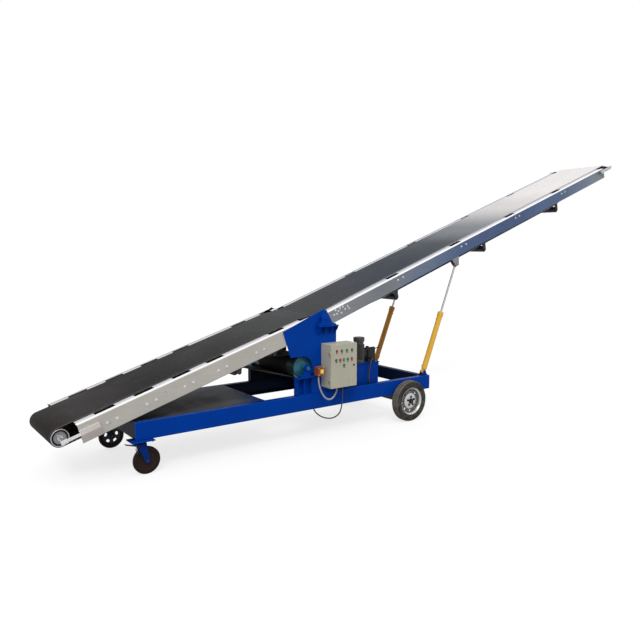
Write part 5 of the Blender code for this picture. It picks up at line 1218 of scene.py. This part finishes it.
def pivot_block(side, sign):
    """A bearing block on the ledge, round the pivot's shaft."""
    x, z = PIVOT
    y = sign * (TOWER_FACE + LEDGE_EDGE) / 2
    reach = BLOCK_RADII[side]
    foot = LEDGE_TOP + 0.012
    cheek = path_of([(x + 0.066, foot)], arc(PIVOT, reach, -20, 200, 24), [(x - 0.066, foot)])
    collar = [(0.022, 0.022), (0.025, 0.020), (0.025, 0.018), (reach - 0.006, 0.016), (reach - 0.002, 0.014)]
    base = rectangle(about(x, 0.095), about(y, 0.022), 0.018, 6)
    return [
        pressed(base, (LEDGE_TOP, LEDGE_TOP + 0.022), "Z", 0.004),
        pressed(rounded(cheek, 0.004, 2), about(y, 0.0176), "Y", 0.004),
        turned(collar, (x, y, z), (0, 1, 0), 40),
        turned(collar, (x, y, z), (0, -1, 0), 40),
        bar((x, y, z + reach - 0.007), (x, y, z + reach + 0.010), 0.005, 12),
        bar((x, sign * (SHAFT_END - 0.003), z), (x, sign * (SHAFT_END + 0.0025), z), 0.0215),
        bolts([(x + along, y, LEDGE_TOP + 0.022) for along in (-0.076, 0.076)], (0, 0, 1), 0.010)]


def make_towers():
    for side, sign in SIDES.items():
        plate, plate_beads = tower_plate(side, sign)
        foot, foot_beads = pedestal(sign)
        # The far tower and its pivot block take the painted-shade copies of the blue.
        paint, block_paint = (TOWER_BLUE, TOWER_BLUE) if side == "near" else (FAR_TOWER, SHADE_NAVY)
        piece(f"tower_skin_{side}", plate + foot + plate_beads + foot_beads, paint, "machine",
              (f"tower_{side}",))
        piece(f"pivot_block_{side}", pivot_block(side, sign), block_paint, "machine")
    x, z = PIVOT
    shaft = bar((x, -SHAFT_END, z), (x, SHAFT_END, z), 0.02, 40)
    piece("pivot_shaft_skin", [shaft], STEEL, "machine", ("pivot_shaft",))
    x, z = TIE
    half = TOWER_INNER - GAP
    tie = shell(rectangle(about(x, 0.03), about(z, 0.03), 0.008), 0.005, (-half, half, half, -half), "Y")
    piece("tower_tie_skin", [tie], BLUE, "machine", ("tower_tie",))


def make_drum():
    """The drive drum's shell, stepped down to the middle, and its lagging with shallow flutes."""
    x, z = DRUM
    half, band = DRUM_HALF, DRUM_BAND
    shape = mirrored([(0.128, half), (0.138, half), (DRUM_RADIUS, half - 0.002), (DRUM_RADIUS, band + 0.001),
                      (0.138, band)])
    lagging = mirrored([(0.136, band), (0.139, band), (0.1396, band - 0.002)])
    fluted = turned(lagging, (x, 0, z), (0, 1, 0), 192, ring=True, waves=48, wave=0.0025)
    piece("drive_drum_lagging", [fluted], LAGGING, "machine")
    piece("drive_drum_shell", [turned(shape, (x, 0, z), (0, 1, 0), 96)], GREEN, "machine",
          ("drive_drum",))


def drum_end(sign):
    """The domed end of the drive drum, its shaft and a ring of six bolts."""
    x, z = DRUM
    half = DRUM_HALF
    dome = [(0.130, half - 0.02), (0.130, half), (0.112, half + 0.006), (0.085, half + 0.014),
            (0.060, half + 0.020), (0.056, half + 0.022), (0.034, half + 0.022), (0.026, half + 0.024),
            (0.025, half + 0.03), (0.025, TOWER_FACE + 0.045), (0.0235, TOWER_FACE + 0.047)]
    places = [(x + 0.098 * math.cos(a), sign * (half + 0.009), z + 0.098 * math.sin(a))
              for a in np.arange(6) * math.pi / 3 + 0.3]
    return [turned(dome, (x, 0, z), (0, sign, 0), 72), bolts(places, (0, sign, 0), 0.007)]


def drum_bracket(side, sign):
    """The bearing bracket on its pedestal; the near one also carries the terminal box's arm."""
    x, z = DRUM
    face = TOWER_FACE
    low = PEDESTAL_TOP + GAP
    arm = path_of([(2.045, low), (2.175, low)], arc(DRUM, 0.046, -30, 215, 24))
    housing = [(0.030, face - 0.003), (0.040, face), (0.040, face + 0.036), (0.036, face + 0.041),
               (0.028, face + 0.041)]
    places = [(bolt_x, sign * (face + 0.024), low + 0.012) for bolt_x in (2.045, 2.175)]
    shapes = [
        pressed(rounded(arm, 0.003, 2), (sign * (face + 0.006), sign * (face + 0.028)), "Y", 0.002),
        block((2.03, 2.19), (sign * (face - 0.029), sign * (face + 0.039)), (low, low + 0.012)),
        turned(housing, (x, 0, z), (0, sign, 0), 40),
        bolts(places, (0, 0, 1), 0.009)]
    if side == "near":
        box_x, box_y, box_z = TERMINAL_BOX
        shapes.append(block((2.150, box_x[1] - 0.01), (-face - 0.017, -face - 0.027),
                            (box_z[0] + 0.02, box_z[1] - 0.03)))
        shapes.append(block((box_x[0] + 0.02, box_x[1] - 0.02), (-face - 0.021, -box_y[0] + GAP),
                            (box_z[0] + 0.03, box_z[1] - 0.04)))
    return shapes


def make_terminal_box():
    x, y, z = TERMINAL_BOX
    front = -y[1]
    gland = turned([(0.012, -GLAND_LENGTH), (0.014, -0.016), (0.014, -0.006), (0.013, 0.001)],
                   (*CASE_GLAND, z[0]), (0, 0, 1), 12)
    case = block(x, (front + 0.016, -y[0]), z, 0.006, "Y")
    lid = block(x, (front, front + 0.015), z, 0.006, "Y")
    piece("terminal_box_skin", [case, lid, gland], ORANGE, "machine", ("terminal_box",))
    face = block((x[0] + 0.034, x[1] - 0.010), (front - 0.004, front + 0.002), (z[0] + 0.026, z[1] - 0.030),
                 0.003, "Y")
    piece("terminal_box_face", [face], AMBER_LENS, "machine")
    screws = [(cx, front, cz) for cx in (x[0] + 0.012, x[1] - 0.012) for cz in (z[0] + 0.012, z[1] - 0.012)]
    piece("terminal_box_screws", [bolts(screws, (0, -1, 0), 0.0035, 8)], ZINC, "machine")


def make_drive():
    make_drum()
    for side, sign in SIDES.items():
        piece(f"drive_drum_end_{side}", drum_end(sign), TEAL, "machine")
        piece(f"drum_bracket_skin_{side}", drum_bracket(side, sign), BLUE, "machine",
              (f"drum_bracket_{side}",))
    make_terminal_box()


def cylinder_foot(y):
    """Base plate, two ears and the pin that a barrel turns on."""
    x, z = FOOT_PIN
    low = RAIL_TOP + 0.002
    ear = path_of([(x - 0.042, low)], arc(FOOT_PIN, 0.026, 180, 0, 16), [(x + 0.042, low)])
    shapes = [block((x - 0.05, CHASSIS_LENGTH), about(y, 0.035), (RAIL_TOP + GAP, RAIL_TOP + 0.008))]
    for edge in (-1, 1):
        shapes.append(pressed(ear, (y + edge * 0.025, y + edge * 0.035), "Y", 0.0015))
    shapes.append(bar((x, y - 0.041, z), (x, y + 0.041, z), LIFT_PIN_RADIUS, 24))
    return shapes


def make_lifts():
    """Each cylinder stands in its own frame: the foot's pin is its origin and the rod runs along z."""
    start, up, across = (0, 0, 0), (0, 0, 1), (0, 1, 0)
    top = (0, 0, LIFT_LENGTH)
    eye = mirrored([(0.030, -0.020), (0.028, -0.022), (0.0132, -0.022)])
    outside = [(0.018, 0.022), (0.030, 0.032), (0.038, 0.047), (0.038, 0.812), (0.040, 0.816), (0.043, 0.822),
               (0.043, 0.876), (0.040, 0.882), (0.022, 0.882), (0.0155, 0.880), (0.0155, 0.80)]
    nose = [(radius, LIFT_LENGTH - back)
            for radius, back in ((0.017, 0.055), (0.021, 0.05), (0.022, 0.032), (0.018, 0.022))]
    for side, sign in SIDES.items():
        y = sign * LIFT_Y
        place = at(*FOOT_PIN, LIFT_LEAN, y)
        body = f"lift_rod_{side}"
        piece(f"cylinder_foot_skin_{side}", cylinder_foot(y), BLUE, "machine",
              (f"cylinder_foot_{side}",))
        barrel = [turned(outside, start, up, 56), turned(eye, start, across, 40, ring=True)]
        barrel += [bar((0.0, -sign * 0.030, z), (0.0, -sign * 0.054, z), 0.012, 6) for z in (0.085, 0.775)]
        # The far barrel takes the painted-shade amber.
        piece(f"barrel_skin_{side}", barrel, YELLOW if side == "near" else AMBER, f"lift_barrel_{side}",
              (f"barrel_{side}",), place)
        rod = bar((0, 0, 0.735), (0, 0, LIFT_LENGTH - 0.02), 0.015, 48)
        piece(f"rod_skin_{side}", [rod], CHROME, body, (f"rod_{side}",), place)
        pin = [bar((0, -0.042, LIFT_LENGTH), (0, 0.042, LIFT_LENGTH), LIFT_PIN_RADIUS),
               bar((0, sign * 0.0355, LIFT_LENGTH), (0, sign * 0.0415, LIFT_LENGTH), 0.019)]
        piece(f"lift_pin_{side}", pin, GREY_STEEL, body, (), place)
        shapes = [turned(nose, start, up, 40), turned(eye, top, across, 40, ring=True)]
        piece(f"rod_eye_{side}", shapes, AMBER, body, (), place)


def road_tyre(sign, around=288, across=45):
    """r(a, y) = section radius less the tread's depth, cut by ribs across y and by notches round a."""
    x, y0, z = WHEEL_PLACE
    shoulder = [(0.1675, 0.033), (0.186, 0.051), (0.196, 0.0565), (0.215, 0.059), (0.232, 0.060),
                (0.250, 0.0575), (0.262, 0.052)]
    tread_y = np.linspace(0.044, -0.044, across)
    section = path_of(shoulder, np.stack((np.full(across, 0.2745), tread_y), 1),
                      [(radius, -y) for radius, y in reversed(shoulder)])
    angle = np.arange(around) * 2 * math.pi / around
    ribs = np.clip((np.cos(tread_y * 2 * math.pi / 0.022) - 0.55) * 4, 0, 1)
    notch = np.clip((np.cos(48 * angle[None, :] + np.abs(tread_y[:, None]) * 90) - 0.1) * 3, 0, 1)
    outer = np.clip((np.abs(tread_y) - 0.020) / 0.006, 0, 1)[:, None]
    depth = 0.006 * np.maximum(ribs[:, None] * np.ones_like(notch), notch * outer)
    crown = 0.003 * (tread_y / 0.044) ** 2
    radius = np.repeat(section[:, :1], around, 1)
    radius[len(shoulder):len(shoulder) + across] -= depth + crown[:, None]
    rows = np.empty((*radius.shape, 3))
    rows[..., 0] = x + radius * np.cos(angle)
    rows[..., 1] = sign * (y0 + section[:, 1:])
    rows[..., 2] = z + radius * np.sin(angle)
    return loft(rows, ring=True)


def make_road_wheel(side, sign):
    x, y0, z = WHEEL_PLACE
    start, out, body = (x, sign * y0, z), (0, sign, 0), f"rear_wheel_{side}"
    piece(f"tyre_skin_{side}", [road_tyre(sign)], TYRE, body, (f"rear_tyre_{side}",), angle=40)
    well = [(0.161, 0.030), (0.164, 0.036), (0.172, 0.045), (0.178, 0.051), (0.181, 0.052), (0.182, 0.050),
            (0.180, 0.047), (0.168, 0.037), (0.166, 0.033), (0.166, -0.033), (0.168, -0.037), (0.180, -0.047),
            (0.182, -0.050), (0.181, -0.052), (0.178, -0.051), (0.164, -0.036), (0.161, -0.030)]
    plate = [(0.030, 0.036), (0.072, 0.036), (0.080, 0.0345), (0.104, 0.0225), (0.104, 0.0145),
             (0.080, 0.0265), (0.072, 0.028), (0.030, 0.028)]
    hub = [(0.0207, -0.034), (0.046, -0.034), (0.046, 0.029), (0.0207, 0.029)]
    shapes = [turned(profile, start, out, sides, ring=True)
              for profile, sides in ((well, 96), (plate, 72), (hub, 48))]
    piece(f"rim_skin_{side}", shapes, RIM, body, (f"rear_rim_{side}",))
    # Painted shade: the vents' ring and the well's slope are dark grey, as the shade inside the deep dish.
    vents = holed_ring(start, out, (0.103, 0.1625), (0.133, 0.015, 0.015, 2), 8, (0.008, 0.016), 0.006)
    slope = [(0.1605, 0.0295), (0.1605, 0.0285), (0.1655, 0.0285), (0.174, 0.0435), (0.1732, 0.0445)]
    piece(f"rim_well_{side}", [vents, turned(slope, start, out, 96, ring=True)], SHADED_RIM_WELL, body)
    cap = [(0.037, 0.035), (0.037, 0.041), (0.030, 0.044), (0.030, 0.052), (0.027, 0.056), (0.012, 0.0565)]
    places = [(x + 0.058 * math.cos(a), sign * (y0 + 0.036), z + 0.058 * math.sin(a))
              for a in np.arange(5) * 2 * math.pi / 5 + math.pi / 2]
    shapes = [turned(cap, start, out, 40), bolts(places, out, 0.0125)]
    piece(f"hub_cap_{side}", shapes, BLACK, body)


def make_caster_fork(side, place):
    """Fork under its race; the brake's pedal, spring and axle bolts are a piece of their own."""
    high = RAIL_LOW - 0.032
    low = high - 0.012
    x, z = CASTER_TRAIL, CASTER_RADIUS
    outer = 0.037
    body = f"caster_fork_body_{side}"
    leg = path_of([(-0.050, high), (-0.048, low - 0.01)], arc((x, z), 0.026, 200, 380, 14),
                  [(0.050, low - 0.005), (0.050, high)])
    race = [(0.036, 0), (0.041, 0.001), (0.042, 0.010), (0.039, 0.0115)]
    shapes = [block((-0.050, 0.050), (-outer, outer), (low, high), 0.003),
              turned(race, (0, 0, high - 0.001), (0, 0, 1), 40)]
    shapes += [pressed(rounded(leg, 0.004, 2), (arm * 0.030, arm * outer), "Y", 0.0015) for arm in (-1, 1)]
    # The far fork takes the painted-shade copy of the fork blue.
    piece(f"fork_skin_{side}", shapes, FORK_BLUE if side == "near" else FORK_SHADE, body,
          (f"caster_fork_{side}",), place)
    pedal = [(-0.050, low - 0.016), (-0.075, low - 0.012), (-0.165, low + 0.014), (-0.165, low + 0.020),
             (-0.075, low - 0.004), (-0.050, low - 0.002)]
    shapes = [
        pressed(pedal, (-0.022, 0.022), "Y", 0.0012),
        spring((-0.066, -0.036, low - 0.030), (-0.048, -0.036, low - 0.085), 0.009, 6),
        block((-0.062, -0.046), (-0.030, 0.030), (low - 0.02, low + 0.004)),
        bar((x, -outer - 0.002, z), (x, outer + 0.002, z), 0.010, 24),
        bolts([(x, outer, z)], (0, 1, 0), 0.0045),
        bolts([(x, -outer, z)], (0, -1, 0), 0.0045)]
    piece(f"caster_brake_{side}", shapes, BRAKE, body, (), place)


def make_caster_wheel(side, place):
    """Tyre and hub; the far wheel's hub is open between spokes and the near one's is a closed disc."""
    start, out, half = (CASTER_TRAIL, 0, CASTER_RADIUS), (0, 1, 0), 0.023
    body = f"caster_wheel_body_{side}"
    tyre = mirrored([(0.104, half - 0.002), (0.108, half), (0.130, half - 0.001), (0.136, half - 0.003),
                     (0.142, half - 0.007), (0.1447, half - 0.012)])
    piece(f"caster_tyre_{side}", [turned(tyre, start, out, 72, ring=True)], CASTER_RUBBER, body,
          (f"caster_wheel_{side}",), place)
    rim = mirrored([(0.088, 0.010), (0.096, 0.014), (0.106, half - 0.003)])
    hub = mirrored([(0.0107, 0.0285), (0.030, 0.0285), (0.032, 0.027), (0.036, 0.012), (0.046, 0.0095)])
    if side == "near":
        paint = HUB_BROWN
        web = turned(mirrored([(0.045, 0.0095), (0.089, 0.0095)]), start, out, 72, ring=True)
    else:
        paint = BLACK
        hole = (0.067, 0.022, 0.0165, 2.6)
        web = holed_ring(start, out, (0.045, 0.089), hole, 5, (-0.009, 0.009), 0, math.pi / 2)
    shapes = [turned(rim, start, out, 72, ring=True), turned(hub, start, out, 48, ring=True), web]
    piece(f"caster_hub_{side}", shapes, paint, body, (), place)


def make_wheels():
    for side, sign in SIDES.items():
        make_road_wheel(side, sign)
    x, y = CASTER_PLACE
    for side, sign in SIDES.items():
        place = at(x, 0, 0, sign * y)
        make_caster_fork(side, place)
        make_caster_wheel(side, place)


def make_case(outline, back, lip, hinge):
    """The cabinet's case, its back, two glands and the lower half of each hinge."""
    x, z = CABINET_X, CABINET_Z
    gland = [(0.012, -GLAND_LENGTH), (0.014, -0.016), (0.014, -0.006), (0.018, -0.006), (0.018, 0.001)]
    shapes = [
        shell(outline, 0.003, (lip, back, back, lip), "Y"),
        pressed(inset(outline, 0.001), (back, back - 0.003), "Y", 0.0005)]
    shapes += [turned(gland, (gland_x, CABINET_GLAND_Y, z[0]), (0, 0, 1), 12) for gland_x in (2.51, 2.60)]
    for low in HINGE_LOWS:
        ends, leaf = (low, low + 0.029), (hinge[0] - 0.002, hinge[0] + 0.0025)
        shapes.append(bar((*hinge, ends[0]), (*hinge, ends[1]), 0.004, 16, 0.0005))
        shapes.append(block(leaf, (lip + 0.02, hinge[1]), ends, 0.0005))
        shapes.append(block((leaf[0], x[0] + 0.001), (lip + 0.006, lip + 0.02), ends, 0.0005))
    piece("cabinet_case", shapes, CREAM, "machine", ("cabinet",))


def make_door(outline, front, rim, hinge):
    shapes = [shell(outline, 0.003, (rim, front + 0.003, front + 0.003, rim), "Y"),
              pressed(outline, (front, front + 0.004), "Y", 0.0022, 3)]
    for low in HINGE_LOWS:
        ends = (low + 0.030, low + 0.060)
        shapes.append(bar((*hinge, ends[0]), (*hinge, ends[1]), 0.004, 16, 0.0005))
        shapes.append(block((hinge[0], CABINET_X[0] + 0.001), (hinge[1] - 0.003, hinge[1] + 0.001), ends,
                            0.0005))
    piece("cabinet_door_skin", shapes, CREAM, "door", ("cabinet_door",))


def make_controls(front):
    """Buttons and lock; each spot is a share of the door's width and of its height from the top."""
    x, z = CABINET_X, CABINET_Z
    width, height = x[1] - x[0], z[1] - z[0]
    start, inward = (0, 0, 0), (0, 1, 0)
    rim = [(0.0165, 0.0), (0.0165, -0.003), (0.0145, -0.0045), (0.012, -0.0045), (0.012, 0.0)]
    head = [(0.0118, 0.0), (0.0118, -0.010), (0.0104, -0.0122), (0.005, -0.0128)]
    plate = block((-0.011, 0.011), (-0.0015, 0.0), (-0.034, -0.020), 0.001, "Y")
    cap = joined(turned(head, start, inward, 32), plate)
    every = []
    for colour, paint, spots in BUTTONS:
        places = [(x[0] + across * width, front, z[1] - down * height) for across, down in spots]
        every += places
        piece(f"buttons_{colour}", [repeated(cap, places)], paint, "door")
    bezels = repeated(turned(rim, start, inward, 32, ring=True), every)
    piece("button_bezels", [bezels], BLACK, "door")
    across, down = LOCK_SPOT
    lock = (x[0] + across * width, front, z[1] - down * height)
    shapes = [turned([(0.012, 0.001), (0.012, -0.006), (0.010, -0.008)], lock, inward, 32),
              block(about(lock[0], 0.003), (front - 0.0125, front - 0.006), about(lock[2], 0.009), 0.001)]
    piece("cabinet_lock", shapes, BLACK, "door")


def make_cabinet():
    x, z = CABINET_X, CABINET_Z
    hinge = (x[0] - 0.006, -(CABINET_FRONT - 0.0075))
    outline = rectangle(x, z, 0.006)
    make_case(outline, -(TOWER_FACE + GAP), -(CABINET_FRONT - 0.0155), hinge)
    make_door(outline, -CABINET_FRONT, -(CABINET_FRONT - 0.015), hinge)
    make_controls(-CABINET_FRONT)


def make_tank():
    x, y, top = TANK_X, TANK_Y, TANK_TOP
    low = RAIL_LOW + 2 * RAIL_WALL + 2 * GAP
    filler, up = (x[1] - 0.06, y[1] - 0.07, top), (0, 0, 1)
    shapes = [
        block(x, y, (low, top - 0.008), 0.012),
        block((x[0] - 0.01, x[1] + 0.01), (y[0] - 0.01, y[1] + 0.01), (top - 0.012, top), 0.003),
        turned([(0.028, -0.004), (0.028, 0.012), (0.024, 0.014), (0.024, 0.018)], filler, up, 40)]
    piece("tank_skin", shapes, TANK_BLUE, "machine", ("oil_tank",))
    places = [(cx, cy, top) for cx in (x[0] + 0.012, (x[0] + x[1]) / 2 - 0.09, x[1] - 0.012)
              for cy in (y[0] + 0.004, y[1] - 0.004)]
    cap = [(0.024, 0.016), (0.027, 0.018), (0.027, 0.030), (0.023, 0.035)]
    shapes = [turned(cap, filler, up, 72, waves=24, wave=0.06), bolts(places, up, 0.006),
              block((x[0] + 0.05, x[0] + 0.075), (y[0] - 0.008, y[0] + 0.002), (top - 0.22, top - 0.10),
                    0.004)]
    piece("tank_fittings", shapes, BLACK, "machine")


def make_motor():
    x, y = MOTOR
    base, high = TANK_TOP + GAP, MOTOR_TOP
    start, up = (x, y, 0), (0, 0, 1)
    fins = [(0.060, base + 0.03), (0.064, base + 0.034), (0.064, high - 0.096), (0.060, high - 0.09)]
    foot = [(0.074, base), (0.078, base + 0.002), (0.078, base + 0.030), (0.070, base + 0.035)]
    cowl = [(0.060, high - 0.095), (0.063, high - 0.060), (0.0745, high - 0.050), (0.0745, high - 0.006),
            (0.072, high - 0.001), (0.055, high), (0.010, high)]
    shapes = [turned(fins, start, up, 192, waves=32, wave=0.15), turned(foot, start, up, 48),
              turned(cowl, start, up, 64)]
    piece("motor_skin", shapes, MOTOR_GREY, "machine", ("pump_motor",))
    shapes = [block((x + 0.045, x + 0.0745), about(y, 0.035), (base + 0.10, base + 0.17), 0.004)]
    for r in (0.020, 0.032, 0.044):
        groove = [(r - 0.002, high - 0.001), (r - 0.002, high), (r + 0.002, high), (r + 0.002, high - 0.001)]
        shapes.append(turned(groove, (x, y, -0.0001), up, 48, ring=True))
    piece("motor_details", shapes, BLACK, "machine")


def make_valves():
    x, y, top = VALVE_X, VALVE_Y, VALVE_TOP
    base, mid = TANK_TOP + GAP, (y[0] + y[1]) / 2
    left, right = x[0] + 0.03, x[1] - 0.03
    shapes = [
        block(x, y, (base, top - 0.03), 0.004),
        bar((x[0] - 0.012, mid, top - 0.035), (x[1] + 0.03, mid, top - 0.035), 0.030),
        bar((left, mid, top - 0.06), (left, mid, top + 0.012), 0.022),
        block((MOTOR[0] + 0.05, x[0] + 0.02), (mid - 0.045, mid + 0.03), (base + 0.075, top - 0.05), 0.006),
        bar((MOTOR[0] + 0.04, mid - 0.01, top - 0.055), (x[0] + 0.02, mid - 0.01, top - 0.055), 0.034),
        bar((x[1] + 0.01, mid, top - 0.032), (x[1] + 0.10, mid, top - 0.026), 0.006, 16),
        bar((x[1] + 0.095, mid, top - 0.0265), (x[1] + 0.115, mid, top - 0.025), 0.011, 16),
        bar((left, y[0] - 0.014, VALVE_PORT_Z), (left, y[0] + 0.01, VALVE_PORT_Z), 0.014, 6),
        bar((right, y[1] - 0.01, VALVE_PORT_Z), (right, y[1] + 0.014, VALVE_PORT_Z), 0.014, 6)]
    piece("valve_skin", shapes, BLACK, "machine", ("valve_block",))


def add_node(tree, kind, inputs=None, **settings):
    """A new node; each input is a plain value or the socket that feeds it."""
    made = tree.nodes.new(kind)
    for key, setting in settings.items():
        setattr(made, key, setting)
    for key, value in (inputs or {}).items():
        if isinstance(value, bpy.types.NodeSocket):
            tree.links.new(value, made.inputs[key])
        else:
            made.inputs[key].default_value = value
    return made


def seen_rays(tree):
    """1 for the rays that show in the picture: from the camera, by way of a gloss or through glass."""
    rays = add_node(tree, "ShaderNodeLightPath")
    seen = rays.outputs["Is Camera Ray"]
    for kind in ("Is Glossy Ray", "Is Transmission Ray"):
        both = {0: seen, 1: rays.outputs[kind]}
        seen = add_node(tree, "ShaderNodeMath", both, operation="MAXIMUM").outputs[0]
    return seen


def floor_material():
    """A pale matt floor that glows a little where it is seen, so that it runs into the white."""
    material = bpy.data.materials.new("Floor")
    material.use_nodes = True
    tree = material.node_tree
    tree.nodes.clear()
    seen = seen_rays(tree)
    glow = add_node(tree, "ShaderNodeEmission", {"Color": (1, 1, 1, 1), "Strength": 0.74}).outputs[0]
    pale = add_node(tree, "ShaderNodeBsdfDiffuse", {"Color": (0.30, 0.30, 0.30, 1)}).outputs[0]
    both = add_node(tree, "ShaderNodeAddShader", {0: glow, 1: pale}).outputs[0]
    choose = add_node(tree, "ShaderNodeMixShader", {0: seen, 1: pale, 2: both}).outputs[0]
    add_node(tree, "ShaderNodeOutputMaterial", {"Surface": choose})
    return material


def make_world():
    """White round about; as a light it is a little weaker than it looks."""
    world = bpy.data.worlds.new("Soft light")
    bpy.context.scene.world = world
    world.use_nodes = True
    tree = world.node_tree
    tree.nodes.clear()
    level = add_node(tree, "ShaderNodeMapRange", {"To Min": 0.85, "To Max": 1.0, "Value": seen_rays(tree)})
    sky = add_node(tree, "ShaderNodeBackground", {"Color": (1, 1, 1, 1), "Strength": level.outputs[0]})
    add_node(tree, "ShaderNodeOutputWorld", {"Surface": sky.outputs[0]})


def make_stage(size=90):
    mesh = bpy.data.meshes.new("floor")
    points = [(-size, -size, 0), (size, -size, 0), (size, size, 0), (-size, size, 0)]
    mesh.from_pydata(points, [], [(0, 1, 2, 3)])
    mesh.materials.append(floor_material())
    floor = linked("floor", mesh)
    make_world()
    lamp = bpy.data.lights.new("Key", "SUN")
    lamp.energy = 1.1
    lamp.angle = math.radians(20)
    key = linked("Key", lamp)
    key.rotation_euler = (math.radians(42), math.radians(-18), math.radians(-20))
    bpy.context.scene.view_settings.view_transform = "Standard"


make_camera()
make_cabinet_cords()
make_hoses()
make_belt()
make_sides()
make_side_bolts()
make_beds()
make_tail_end()
make_head_end()
make_rollers()
make_chassis()
make_towers()
make_drive()
make_lifts()
make_wheels()
make_cabinet()
make_tank()
make_motor()
make_valves()
make_stage()
